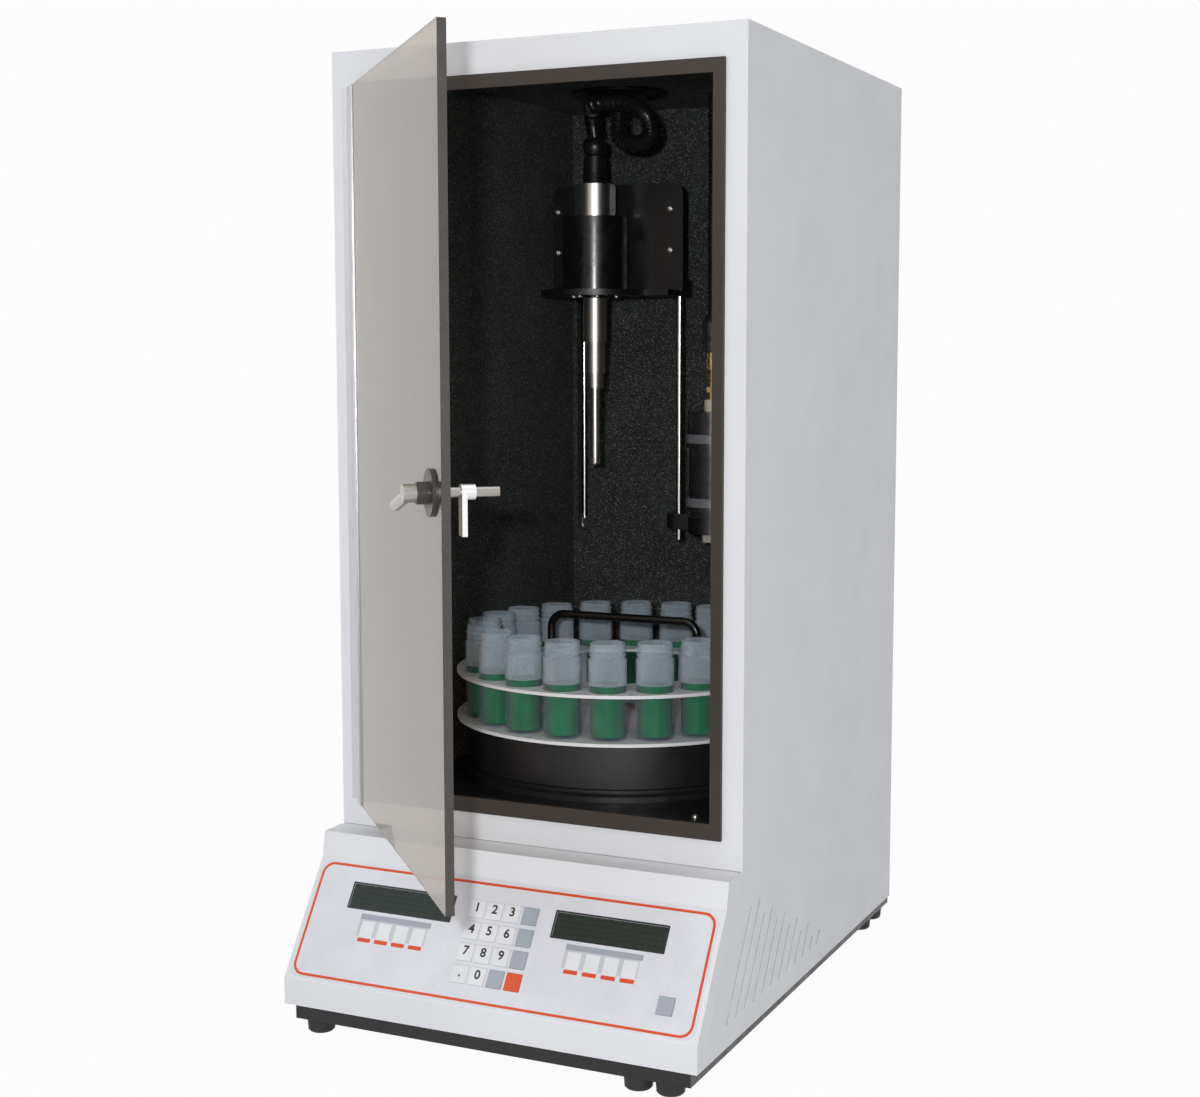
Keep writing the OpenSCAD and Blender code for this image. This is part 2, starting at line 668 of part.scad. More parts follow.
module motor_cap() color([0.75, 0.76, 0.77]) place() translate([head_x, head_y, 0])
    difference() {
        rod(0, 0, shelf_z + motor_h + eps, shelf_z + motor_h + cap_h, cap_r);
        block([cap_r - 1, -20, shelf_z + motor_h + 2], [cap_r + 5, 20, shelf_z + motor_h + cap_h + 1]);
    }

boot_z = shelf_z + motor_h + cap_h;
ball_z = boot_z + 38;
ball_r = 12.5;
ball_flat_z = ball_z + 8;
conduit_z0 = ball_flat_z + 2.1;
module conduit_boot() color([0.04, 0.04, 0.04]) place() translate([head_x, head_y, 0]) difference() {
    union() {
        rotate_extrude() polygon([
            [0, boot_z + eps], [13, boot_z + eps], [12, boot_z + 12], [11, boot_z + 28], [0, boot_z + 28]
        ]);
        translate([0, 0, ball_z]) sphere(r = ball_r);
    }
    rod(0, 0, ball_flat_z, ball_z + ball_r + 1, ball_r + 1);
}

module stator_probe() color([0.72, 0.72, 0.73]) place() translate([head_x, head_y, 0]) difference() {
    union() {
        rod(0, 0, probe_tip_z + 126, shelf_z - head_t - 2 - eps, 12);
        rod(0, 0, probe_tip_z + 94, probe_tip_z + 127, 10.3);
        rod(0, 0, probe_tip_z + 79, probe_tip_z + 95, 8.6);
        rod(0, 0, probe_tip_z, probe_tip_z + 80, probe_r);
    }
    rod(0, 0, probe_tip_z - 1, shelf_z, rotor_r + 0.6);
    for (i = [0:2])
        rotate([0, 0, i * 60]) block([-8, -0.9, probe_tip_z - 1], [8, 0.9, probe_tip_z + 7]);
}

rotor_r = 2.9;
module rotor_shaft() color([0.78, 0.78, 0.79]) place() translate([head_x, head_y, 0]) {
    rod(0, 0, probe_tip_z + 9, shelf_z + 18, rotor_r - 0.4);
    difference() {
        rod(0, 0, probe_tip_z + 1, probe_tip_z + 10, rotor_r);
        block([-5, -0.8, probe_tip_z], [5, 0.8, probe_tip_z + 7]);
    }
}

module lift_carriage() color([0.60, 0.61, 0.63]) place() difference() {
    block(
        [rail_x[0] - 9, rail_y - block_d / 2 + eps, block_z],
        [rail_x[1] + 9, rail_y + block_d / 2, block_z + block_h]
    );
    for (x = rail_x)
        rod(x, rail_y, block_z - 1, block_z + block_h + 1, rail_r + run_fit);
    rod(screw_x, screw_y, block_z - 1, block_z + block_h + 1, screw_r + run_fit);
}

module lift_frame() color([0.70, 0.71, 0.73]) place() difference() {
    union() {
        for (x = rail_x)
            rod(x, rail_y, lift_low_z, lift_high_z + 10, rail_r);
        for (z = [lift_low_z, lift_high_z])
            block(
                [rail_x[0] - 9, liner_back + liner_t + eps, z],
                [rail_x[1] + 9, rail_y + 10, z + 12]
            );
    }
    rod(screw_x, screw_y, lift_low_z - 1, lift_high_z + 14, screw_r + run_fit);
}

module lead_screw() color([0.66, 0.66, 0.68]) place()
    rod(screw_x, screw_y, lift_low_z - 8, lift_high_z + 14, screw_r);

module lift_motor() color([0.12, 0.12, 0.13]) place() difference() {
    block([screw_x - 19, screw_y - 19, lift_low_z - 44], [screw_x + 19, screw_y + 19, lift_low_z - eps]);
    rod(screw_x, screw_y, lift_low_z - 9, lift_low_z + 1, screw_r + run_fit);
}

// guide rod, its arm and the dispenser

module guide_rod() color([0.78, 0.78, 0.79]) place()
    rod(rod_x, rod_y, arm_z - 12, shelf_z + 60, rod_r);

module support_arm() color([0.05, 0.05, 0.06]) place() difference() {
    union() {
        rod(rod_x, rod_y, arm_z, arm_z + arm_h, 13);
        block([rod_x, rod_y - 13, arm_z], [disp_x + 14, rod_y + 13, arm_z + arm_h]);
        block([disp_x - 12, disp_y, arm_z], [disp_x + 12, rod_y, arm_z + arm_h]);
        rod(disp_x, disp_y, arm_z, arm_z + arm_h, 25);
        block([disp_x - 14, rod_y, arm_z], [disp_x + 14, foam_back - eps, arm_z + arm_h]);
        block([disp_x - 24, foam_back - 5, arm_z - 12], [disp_x + 24, foam_back - eps, arm_z + arm_h + 12]);
    }
    rod(rod_x, rod_y, arm_z - 1, arm_z + arm_h + 1, rod_r + 0.02);
    rod(disp_x, disp_y, arm_z - 1, arm_z + arm_h + 1, 8);
}

module dispenser_barrel() color([0.14, 0.14, 0.15]) place() translate([disp_x, disp_y, 0]) {
    rod(0, 0, arm_z + arm_h + eps, arm_z + arm_h + 8, 23);
    rod(0, 0, arm_z + arm_h + 7, arm_z + arm_h + 20, 27);
    rod(0, 0, arm_z + arm_h + 19, arm_z + arm_h + 73, 24.5);
    rod(0, 0, arm_z + arm_h + 72, arm_z + arm_h + 82, 27);
    rod(0, 0, arm_z + arm_h + 81, arm_z + arm_h + 108, 26.4);
}

disp_top = arm_z + arm_h + 108;
module dispenser_fitting() color([0.80, 0.66, 0.36]) place() translate([disp_x, disp_y, 0]) difference() {
    union() {
        rod(0, 0, disp_top + eps, disp_top + 13, 8);
        rod(0, 0, disp_top + 12, disp_top + 28, 6);
        rod(0, 0, disp_top + 20, disp_top + 25, 8, $fn = 6);
        rod(0, 0, disp_top + 27, disp_top + 44, 5);
        rod(0, 0, disp_top + 43, disp_top + 60, 7);
    }
}

module dispenser_nozzle() color([0.80, 0.80, 0.81]) place() translate([disp_x, disp_y, 0]) difference() {
    union() {
        rod(0, 0, arm_z - 6, arm_z + arm_h - eps, 7.9);
        rod(0, 0, arm_z - 9, arm_z - eps, 12, $fn = 6);
        rod(0, 0, arm_z - 52, arm_z - 5, 2.2);
    }
    rod(0, 0, arm_z - 53, arm_z + 4, 1.2);
}

hose_r = 6;
module dispenser_hose() color([0.05, 0.05, 0.05]) place() {
    rod(disp_x, disp_y, disp_top + 60 + eps, disp_top + 98, 12);
    rod(disp_x, disp_y, disp_top + 97, liner_top + liner_t, hose_r);
}

// conduit from the ceiling port to the head, a ribbed tube along a curved route

port_x = head_x + 37.49;
port_y = head_y - 20.63;
port_r = 48;
module ceiling_port() color([0.03, 0.03, 0.03]) place() difference() {
    union() {
        rod(port_x, port_y, ceil_z - 3, ceil_z - eps, port_r);
        rod(port_x, port_y, ceil_z - 3, liner_top, 13.7);
    }
    rod(port_x, port_y, ceil_z - 4, liner_top + 1, 10);
}

conduit_r = 8.5;
conduit_bore = 5.5;
rib_count = 56;
rib_depth = 1.3;
route = [
    [head_x, head_y, conduit_z0], [head_x - 1, head_y - 3, boot_z + 63], [head_x + 4, head_y - 14, boot_z + 75],
    [head_x + 22, head_y - 51, boot_z + 74], [head_x + 59, head_y - 55, boot_z + 73],
    [head_x + 81, head_y - 55, boot_z + 60], [head_x + 82, head_y - 46, boot_z + 43],
    [head_x + 65, head_y - 35, boot_z + 35], [head_x + 39, head_y - 25, boot_z + 44],
    [port_x, port_y, ceil_z - 8], [port_x, port_y, ceil_z + 5]
];

function spline(a, b, c, d, t) = 0.5 * (
    2 * b + (c - a) * t + (2 * a - 5 * b + 4 * c - d) * t * t + (3 * b - a - 3 * c + d) * t * t * t
);
function clamp_i(i) = min(max(i, 0), len(route) - 1);
function on_route(u) = let (s = min(u, 0.99999) * (len(route) - 1), i = floor(s))
    spline(route[clamp_i(i - 1)], route[i], route[clamp_i(i + 1)], route[clamp_i(i + 2)], s - i);
function unit(v) = v / norm(v);
function heading(u) = unit(on_route(min(u + 0.004, 1)) - on_route(max(u - 0.004, 0)));
function ring(u, r) = let (t = heading(u), a = unit(cross(t, [0.25, 0.93, 0.27])), b = cross(t, a))
    [for (k = [0:7]) on_route(u) + r * (cos(k * 45) * a + sin(k * 45) * b)];

module conduit() color([0.04, 0.04, 0.04]) place() {
    rings = 2 * rib_count;
    outer = [for (i = [0:rings - 1]) ring(i / (rings - 1), i % 2 == 0 ? conduit_r : conduit_r - rib_depth)];
    inner = [for (i = [0:rings - 1]) ring(i / (rings - 1), conduit_bore)];
    pts = [for (r = outer) for (p = r) p, for (r = inner) for (p = r) p];
    base = rings * 8;
    polyhedron(pts, [
        for (i = [0:rings - 2]) for (k = [0:7])
            [i * 8 + k, i * 8 + (k + 1) % 8, (i + 1) * 8 + (k + 1) % 8],
        for (i = [0:rings - 2]) for (k = [0:7])
            [i * 8 + k, (i + 1) * 8 + (k + 1) % 8, (i + 1) * 8 + k],
        for (i = [0:rings - 2]) for (k = [0:7])
            [base + i * 8 + k, base + (i + 1) * 8 + (k + 1) % 8, base + i * 8 + (k + 1) % 8],
        for (i = [0:rings - 2]) for (k = [0:7])
            [base + i * 8 + k, base + (i + 1) * 8 + k, base + (i + 1) * 8 + (k + 1) % 8],
        for (k = [0:7]) [k, base + k, base + (k + 1) % 8],
        for (k = [0:7]) [k, base + (k + 1) % 8, (k + 1) % 8],
        for (k = [0:7]) [(rings - 1) * 8 + k, (rings - 1) * 8 + (k + 1) % 8, base + (rings - 1) * 8 + (k + 1) % 8],
        for (k = [0:7]) [(rings - 1) * 8 + k, base + (rings - 1) * 8 + (k + 1) % 8, base + (rings - 1) * 8 + k]
    ]);
}

// keys

key_white = [0.93, 0.93, 0.94];
key_grey = [0.66, 0.68, 0.72];
key_orange = [0.88, 0.32, 0.14];
module press_key_1() color(key_white) key(0);
module press_key_2() color(key_white) key(1);
module press_key_3() color(key_white) key(2);
module press_key_print() color(key_grey) key(3);
module press_key_4() color(key_white) key(4);
module press_key_5() color(key_white) key(5);
module press_key_6() color(key_white) key(6);
module press_key_prog() color(key_grey) key(7);
module press_key_7() color(key_white) key(8);
module press_key_8() color(key_white) key(9);
module press_key_9() color(key_white) key(10);
module press_key_menu() color(key_grey) key(11);
module press_key_point() color(key_white) key(12);
module press_key_0() color(key_white) key(13);
module press_key_clear() color(key_grey) key(14);
module press_key_enter() color(key_orange) key(15);
module press_key_start() color(key_grey) key(16);

base_plate();
rubber_feet();
cabinet_shell();
back_panel();
console_housing();
control_overlay();
displays();
door_gasket();
foam_lining();
chamber_liner();
hinge_fixed_leaf();
carousel_drum();
turntable_motor();
lift_frame();
lift_motor();
power_inlet();
ceiling_port();
support_arm();
guide_rod();
dispenser_barrel();
dispenser_fitting();
dispenser_nozzle();
dispenser_hose();
conduit();
door_panel();
hinge_door_leaf();
latch_rosette();
latch_lever();
latch_cam();
turntable_hub();
lower_plate();
upper_plate();
carry_handle();
sample_jars();
head_plate();
motor_shelf();
lift_carriage();
motor_body();
motor_cap();
conduit_boot();
stator_probe();
rotor_shaft();
lead_screw();
press_key_1();
press_key_2();
press_key_3();
press_key_4();
press_key_5();
press_key_6();
press_key_7();
press_key_8();
press_key_9();
press_key_point();
press_key_0();
press_key_print();
press_key_prog();
press_key_menu();
press_key_clear();
press_key_enter();
press_key_start();
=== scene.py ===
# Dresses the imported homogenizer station: finishes for its parts, printed console, samples, hoses, screws.
import json
import math
import bpy
from mathutils import Matrix, Vector


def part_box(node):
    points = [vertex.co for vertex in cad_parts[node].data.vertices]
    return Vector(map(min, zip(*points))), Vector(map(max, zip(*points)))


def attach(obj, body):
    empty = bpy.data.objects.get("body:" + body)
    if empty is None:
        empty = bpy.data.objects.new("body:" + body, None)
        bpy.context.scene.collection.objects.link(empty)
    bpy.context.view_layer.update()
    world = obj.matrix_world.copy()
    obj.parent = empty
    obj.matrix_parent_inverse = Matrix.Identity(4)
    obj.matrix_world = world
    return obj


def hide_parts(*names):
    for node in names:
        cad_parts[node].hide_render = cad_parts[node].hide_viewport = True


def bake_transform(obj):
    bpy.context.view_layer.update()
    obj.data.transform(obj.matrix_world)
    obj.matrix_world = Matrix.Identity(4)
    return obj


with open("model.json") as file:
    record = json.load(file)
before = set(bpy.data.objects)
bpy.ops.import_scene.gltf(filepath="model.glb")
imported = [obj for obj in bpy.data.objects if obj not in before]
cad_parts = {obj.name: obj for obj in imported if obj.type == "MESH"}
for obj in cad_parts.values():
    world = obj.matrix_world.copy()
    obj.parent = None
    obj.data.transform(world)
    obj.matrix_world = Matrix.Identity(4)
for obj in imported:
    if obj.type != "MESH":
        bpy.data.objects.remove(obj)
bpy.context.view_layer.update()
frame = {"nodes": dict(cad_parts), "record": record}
mm = 0.001
liquidLevel = 311.0  # height of the samples' surface, millimetres
print("stage: frame loaded")

# places that everything else is measured from
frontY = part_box("door_gasket")[1].y  # the cabinet's front face
motorLow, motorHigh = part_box("motor_body")
headX = (motorLow.x + motorHigh.x) / 2
headY = (motorLow.y + motorHigh.y) / 2
plateLow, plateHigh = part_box("lower_plate")
carouselX = (plateLow.x + plateHigh.x) / 2
carouselY = (plateLow.y + plateHigh.y) / 2


def at(x, y, z):  # millimetres from the cabinet's front face to the row frame
    return Vector((x * mm, frontY + y * mm, z * mm))


# finishes
class Field:
    # a node's output, so that shader maths reads as sums
    def __init__(self, shade, socket):
        self.shade = shade
        self.socket = socket

    def math(self, operation, first, second):
        return self.shade.node("ShaderNodeMath", {"operation": operation}, {0: first, 1: second})

    def __add__(self, other):
        return self.math("ADD", self, other)

    __radd__ = __add__

    def __sub__(self, other):
        return self.math("SUBTRACT", self, other)

    def __rsub__(self, other):
        return self.math("SUBTRACT", other, self)

    def __mul__(self, other):
        return self.math("MULTIPLY", self, other)

    __rmul__ = __mul__

    def __lt__(self, other):
        return self.math("LESS_THAN", self, other)


class Shade:
    # one material: a Principled shader and the nodes that feed it
    def __init__(self, name, **constants):
        self.material = bpy.data.materials.new(name)
        self.material.use_nodes = True
        self.nodes = self.material.node_tree.nodes
        self.links = self.material.node_tree.links
        self.shader = self.nodes["Principled BSDF"]
        self.output = self.nodes["Material Output"]
        for socket, value in constants.items():
            self.shader.inputs[socket.replace("_", " ")].default_value = value
        self.place = self.node("ShaderNodeTexCoord", {}, {}, "Object")

    def node(self, kind, settings, inputs, output=0):
        made = self.nodes.new(kind)
        for key, value in settings.items():
            setattr(made, key, value)
        for key, value in inputs.items():
            if isinstance(value, Field):
                self.links.new(value.socket, made.inputs[key])
            else:
                made.inputs[key].default_value = value
        return Field(self, made.outputs[output])

    def feed(self, socket, field):
        self.links.new(field.socket, self.shader.inputs[socket])

    def noise(self, scale, detail=3.0, roughness=0.5, vector=None):
        inputs = {"Vector": vector or self.place, "Scale": scale, "Detail": detail, "Roughness": roughness}
        return self.node("ShaderNodeTexNoise", {}, inputs)

    def stretched(self, x, y, z):
        return self.node("ShaderNodeMapping", {}, {"Vector": self.place, "Scale": (x, y, z)})

    def mix(self, factor, first, second):
        return self.node("ShaderNodeMix", {"data_type": "RGBA"}, {0: factor, 6: first, 7: second}, 2)

    def spread(self, field, low, high, fromLow=0.3, fromHigh=0.7):
        ends = {"From Min": fromLow, "From Max": fromHigh, "To Min": low, "To Max": high}
        return self.node("ShaderNodeMapRange", {}, {"Value": field, **ends})

    def split(self):
        parts = self.nodes.new("ShaderNodeSeparateXYZ")
        self.links.new(self.place.socket, parts.inputs[0])
        return [Field(self, socket) for socket in parts.outputs]

    def bump(self, height, strength, distance):
        inputs = {"Height": height, "Strength": strength, "Distance": distance}
        self.feed("Normal", self.node("ShaderNodeBump", {}, inputs))


def shadowFree(shade, tint):  # lets lamp light through, tinted, instead of casting a solid shadow
    ray = shade.node("ShaderNodeLightPath", {}, {}, "Is Shadow Ray")
    clear = shade.nodes.new("ShaderNodeBsdfTransparent")
    clear.inputs["Color"].default_value = tint
    mixed = shade.nodes.new("ShaderNodeMixShader")
    shade.links.new(ray.socket, mixed.inputs[0])
    shade.links.new(shade.shader.outputs[0], mixed.inputs[1])
    shade.links.new(clear.outputs[0], mixed.inputs[2])
    shade.links.new(mixed.outputs[0], shade.output.inputs["Surface"])


def paintedSheet(name, colour, roughness):  # powder coat: faint mottle and orange peel
    shade = Shade(name, Roughness=roughness)
    mottle = shade.noise(9.0, 4.0)
    darker = [c * 0.955 for c in colour[:3]] + [1]
    shade.feed("Base Color", shade.mix(shade.spread(mottle, 0.0, 1.0), darker, colour))
    shade.feed("Roughness", shade.spread(shade.noise(30.0), roughness - 0.06, roughness + 0.08))
    shade.bump(shade.noise(900.0, 2.0), 0.12, 0.0002)
    return shade.material


def blackCoat(name, colour, roughness, grain):  # black powder coat with a fine pebble
    shade = Shade(name, Roughness=roughness)
    speck = shade.noise(1600.0, 2.0)
    lighter = [c * 1.9 + 0.004 for c in colour[:3]] + [1]
    shade.feed("Base Color", shade.mix(shade.spread(speck, 0.0, 0.6, 0.5, 0.75), colour, lighter))
    shade.feed("Roughness", shade.spread(shade.noise(60.0), roughness - 0.08, roughness + 0.1))
    shade.bump(speck, grain, 0.0003)
    return shade.material


def brushedMetal(name, colour, roughness, direction):  # fine lines along one axis
    shade = Shade(name, Metallic=1.0, Roughness=roughness)
    lines = shade.noise(100.0, 3.0, 0.6, shade.stretched(*direction))
    darker = [c * 0.88 for c in colour[:3]] + [1]
    shade.feed("Base Color", shade.mix(shade.spread(lines, 0.0, 1.0), darker, colour))
    shade.feed("Roughness", shade.spread(lines, roughness + 0.05, roughness - 0.03))
    shade.bump(lines, 0.03, 0.00005)
    return shade.material


def speckledFoam(name):  # charcoal acoustic foam with pale flecks
    shade = Shade(name, Roughness=0.95)
    spots = {"Vector": shade.place, "Scale": 420.0}
    flecks = shade.node("ShaderNodeTexVoronoi", {"feature": "F1"}, spots, "Distance")
    web = shade.noise(520.0, 4.0, 0.7)
    cloud = shade.noise(22.0, 3.0)
    ground = shade.mix(shade.spread(cloud, 0.0, 1.0), (0.014, 0.017, 0.016, 1), (0.028, 0.033, 0.031, 1))
    mid = shade.mix(shade.spread(web, 0.0, 1.0, 0.5, 0.68), ground, (0.10, 0.112, 0.106, 1))
    fleckShare = shade.spread(flecks, 1.0, 0.0, 0.05, 0.22)
    shade.feed("Base Color", shade.mix(fleckShare, mid, (0.50, 0.54, 0.53, 1)))
    shade.bump(web + flecks * 0.6, 0.7, 0.0012)
    return shade.material


def tintedAcrylic(name):  # smoke-tinted clear sheet
    shade = Shade(name, Roughness=0.02, IOR=1.45, Transmission_Weight=0.93)
    haze = shade.spread(shade.noise(3.0, 2.0), 0.0, 1.0)
    shade.feed("Base Color", shade.mix(haze, (0.40, 0.335, 0.27, 1), (0.45, 0.38, 0.31, 1)))
    shade.feed("Roughness", shade.spread(shade.noise(14.0, 3.0), 0.015, 0.05))
    shadowFree(shade, (0.50, 0.45, 0.41, 1))
    return shade.material


def frostedPlastic(name):  # milky translucent jar wall
    shade = Shade(name, Roughness=0.22)
    cloud = shade.spread(shade.noise(60.0, 3.0), 0.0, 1.0)
    shade.feed("Base Color", shade.mix(cloud, (0.66, 0.74, 0.82, 1), (0.78, 0.84, 0.90, 1)))
    shade.feed("Roughness", shade.spread(shade.noise(120.0), 0.16, 0.30))
    facing = shade.node("ShaderNodeLayerWeight", {}, {"Blend": 0.35}, "Facing")
    clear = shade.nodes.new("ShaderNodeBsdfTransparent")
    clear.inputs["Color"].default_value = (0.90, 0.94, 0.97, 1)
    mixed = shade.nodes.new("ShaderNodeMixShader")
    wet = shade.split()[2] < liquidLevel * mm
    share = facing * (0.62 - wet * 0.42) + (0.17 - wet * 0.15)
    shade.links.new(share.socket, mixed.inputs[0])
    shade.links.new(clear.outputs[0], mixed.inputs[1])
    shade.links.new(shade.shader.outputs[0], mixed.inputs[2])
    shade.links.new(mixed.outputs[0], shade.output.inputs["Surface"])
    return shade.material


def greenSample(name):  # green liquid, with painted shade that darkens it towards its rim as the camera sees it
    shade = Shade(name, Roughness=0.12, IOR=1.33)
    drift = shade.noise(50.0, 2.0)
    deep = shade.mix(shade.spread(drift, 0.0, 1.0), (0.0, 0.15, 0.045, 1), (0.0, 0.21, 0.066, 1))
    facing = shade.node("ShaderNodeLayerWeight", {}, {"Blend": 0.4}, "Facing")
    # painted shade: the colour turns near black where the surface turns away from the camera
    shade.feed("Base Color", shade.mix(shade.spread(facing, 0.0, 1.0, 0.1, 0.9), deep, (0.0, 0.03, 0.008, 1)))
    return shade.material


def mouldedPlastic(name, colour, roughness, grain=0.1):  # faint tone and grain
    shade = Shade(name, Roughness=roughness)
    tone = shade.noise(40.0, 3.0)
    darker = [c * 0.93 for c in colour[:3]] + [1]
    shade.feed("Base Color", shade.mix(shade.spread(tone, 0.0, 1.0), darker, colour))
    shade.feed("Roughness", shade.spread(shade.noise(90.0), roughness - 0.05, roughness + 0.07))
    shade.bump(shade.noise(1400.0, 2.0), grain, 0.0002)
    return shade.material


def liquidCrystal(name):  # dark display window with faint character cells
    shade = Shade(name, Roughness=0.3, Specular_IOR_Level=0.25)
    cells = shade.node("ShaderNodeTexBrick", {"offset": 0.0},
                       {"Vector": shade.place, "Scale": 90.0, "Mortar Size": 0.05, "Color1": (1, 1, 1, 1),
                        "Color2": (1, 1, 1, 1), "Mortar": (0, 0, 0, 1)}, "Fac")
    shade.feed("Base Color", shade.mix(cells, (0.028, 0.040, 0.032, 1), (0.022, 0.031, 0.026, 1)))
    return shade.material


finishes = {
    "sheetWhite": paintedSheet("sheetWhite", (0.80, 0.81, 0.84, 1), 0.36),
    "consoleWhite": paintedSheet("consoleWhite", (0.82, 0.83, 0.86, 1), 0.38),
    "overlayFilm": mouldedPlastic("overlayFilm", (0.80, 0.81, 0.86, 1), 0.32, 0.04),
    "plateWhite": paintedSheet("plateWhite", (0.84, 0.85, 0.87, 1), 0.28),
    "coatBlack": blackCoat("coatBlack", (0.006, 0.006, 0.007, 1), 0.36, 0.12),
    "canBlack": blackCoat("canBlack", (0.006, 0.006, 0.007, 1), 0.27, 0.06),
    "discDark": blackCoat("discDark", (0.035, 0.031, 0.027, 1), 0.35, 0.05),
    "edgeDark": mouldedPlastic("edgeDark", (0.055, 0.048, 0.043, 1), 0.3, 0.03),
    "drumBlack": blackCoat("drumBlack", (0.010, 0.010, 0.011, 1), 0.42, 0.2),
    "handleBlack": blackCoat("handleBlack", (0.003, 0.003, 0.0035, 1), 0.25, 0.02),
    "footRubber": mouldedPlastic("footRubber", (0.018, 0.018, 0.018, 1), 0.65, 0.3),
    "gasketBrown": mouldedPlastic("gasketBrown", (0.030, 0.021, 0.0145, 1), 0.5, 0.1),
    "foam": speckledFoam("foam"),
    "hingeNickel": brushedMetal("hingeNickel", (0.62, 0.62, 0.65, 1), 0.34, (20, 20, 1)),
    "camBright": brushedMetal("camBright", (0.85, 0.85, 0.85, 1), 0.34, (1, 1, 8)),
    "latchChrome": brushedMetal("latchChrome", (0.42, 0.40, 0.37, 1), 0.22, (4, 4, 20)),
    "capAluminium": brushedMetal("capAluminium", (0.78, 0.79, 0.80, 1), 0.3, (14, 14, 0.6)),
    "probeSteel": brushedMetal("probeSteel", (0.60, 0.585, 0.565, 1), 0.38, (0.6, 0.6, 30)),
    "screwDark": brushedMetal("screwDark", (0.16, 0.155, 0.15, 1), 0.32, (20, 20, 0.6)),
    "rodSteel": brushedMetal("rodSteel", (0.62, 0.61, 0.59, 1), 0.24, (20, 20, 0.6)),
    "brass": brushedMetal("brass", (0.80, 0.62, 0.30, 1), 0.25, (1, 1, 20)),
    "tintedAcrylic": tintedAcrylic("tintedAcrylic"),
    "frosted": frostedPlastic("frosted"),
    "green": greenSample("green"),
    "display": liquidCrystal("display"),
    "keyWhite": mouldedPlastic("keyWhite", (0.86, 0.87, 0.90, 1), 0.4),
    "keyGrey": mouldedPlastic("keyGrey", (0.42, 0.46, 0.52, 1), 0.4),
    "keyOrange": mouldedPlastic("keyOrange", (0.78, 0.10, 0.025, 1), 0.4),
    "printOrange": mouldedPlastic("printOrange", (0.75, 0.085, 0.02, 1), 0.4, 0.03),
    "printGrey": mouldedPlastic("printGrey", (0.40, 0.43, 0.49, 1), 0.4, 0.03),
    "fieldGrey": mouldedPlastic("fieldGrey", (0.62, 0.64, 0.69, 1), 0.4, 0.03),
    "printDark": mouldedPlastic("printDark", (0.02, 0.02, 0.025, 1), 0.4, 0.03),
    "hoseBlack": blackCoat("hoseBlack", (0.008, 0.008, 0.009, 1), 0.3, 0.08),
    "barrelBlack": mouldedPlastic("barrelBlack", (0.02, 0.02, 0.023, 1), 0.25, 0.05),
    "bandGrey": mouldedPlastic("bandGrey", (0.16, 0.17, 0.19, 1), 0.35, 0.03),
    "ivory": mouldedPlastic("ivory", (0.70, 0.66, 0.55, 1), 0.4, 0.05),
    "labelGrey": mouldedPlastic("labelGrey", (0.46, 0.47, 0.48, 1), 0.35, 0.03),
}

nodeFinishes = {
    "cabinet_shell": "sheetWhite", "back_panel": "sheetWhite", "console_housing": "consoleWhite",
    "control_overlay": "overlayFilm", "displays": "display", "base_plate": "coatBlack",
    "rubber_feet": "footRubber",
    "door_gasket": "gasketBrown", "foam_lining": "foam", "chamber_liner": "coatBlack",
    "hinge_fixed_leaf": "hingeNickel", "hinge_door_leaf": "hingeNickel", "carousel_drum": "drumBlack",
    "turntable_motor": "coatBlack", "lift_frame": "rodSteel", "lift_motor": "coatBlack",
    "power_inlet": "barrelBlack", "ceiling_port": "coatBlack", "support_arm": "coatBlack",
    "guide_rod": "rodSteel",
    "dispenser_barrel": "barrelBlack", "dispenser_fitting": "brass", "dispenser_nozzle": "probeSteel",
    "dispenser_hose": "hoseBlack", "conduit": "hoseBlack", "door_panel": "tintedAcrylic",
    "latch_rosette": "discDark", "latch_lever": "latchChrome", "latch_cam": "camBright",
    "turntable_hub": "rodSteel", "lower_plate": "plateWhite", "upper_plate": "plateWhite",
    "carry_handle": "handleBlack", "sample_jars": "frosted", "head_plate": "coatBlack",
    "motor_shelf": "coatBlack",
    "lift_carriage": "rodSteel", "motor_body": "canBlack", "motor_cap": "capAluminium",
    "conduit_boot": "hoseBlack", "stator_probe": "probeSteel", "rotor_shaft": "probeSteel",
    "lead_screw": "screwDark",
}
whiteKeys = ["1", "2", "3", "4", "5", "6", "7", "8", "9", "point", "0"]
greyKeys = ["print", "prog", "menu", "clear", "start"]
for keyName in whiteKeys + greyKeys + ["enter"]:
    shadeName = "keyOrange" if keyName == "enter" else "keyWhite"
    if keyName in greyKeys:
        shadeName = "keyGrey"
    nodeFinishes["press_key_" + keyName] = shadeName
for nodeName, shadeName in nodeFinishes.items():
    mesh = frame["nodes"][nodeName].data
    mesh.materials.clear()
    mesh.materials.append(finishes[shadeName])
print("stage: finishes on", len(nodeFinishes), "parts")


# modelling steps
def clearSelection():
    bpy.ops.object.select_all(action="DESELECT")
    bpy.context.view_layer.objects.active = None


def takeUp(piece):
    clearSelection()
    piece.select_set(True)
    bpy.context.view_layer.objects.active = piece


def settle(piece):  # its place goes into its mesh
    takeUp(piece)
    bpy.ops.object.transform_apply(location=True, rotation=True, scale=True)
    return piece


def smooth(piece, degrees=35):
    takeUp(piece)
    bpy.ops.object.shade_smooth_by_angle(angle=math.radians(degrees))
    return piece


def bevelled(piece, width, segments=2):
    takeUp(piece)
    bpy.ops.object.modifier_add(type="BEVEL")
    edge = piece.modifiers[-1]
    edge.width = width
    edge.segments = segments
    edge.limit_method = "ANGLE"
    bpy.ops.object.modifier_apply(modifier=edge.name)
    return smooth(piece)


def slab(name, low, high):  # a block between two corners
    clearSelection()
    bpy.ops.mesh.primitive_cube_add(size=1, location=(low + high) / 2)
    piece = bpy.context.object
    piece.name = name
    piece.scale = high - low
    return settle(piece)


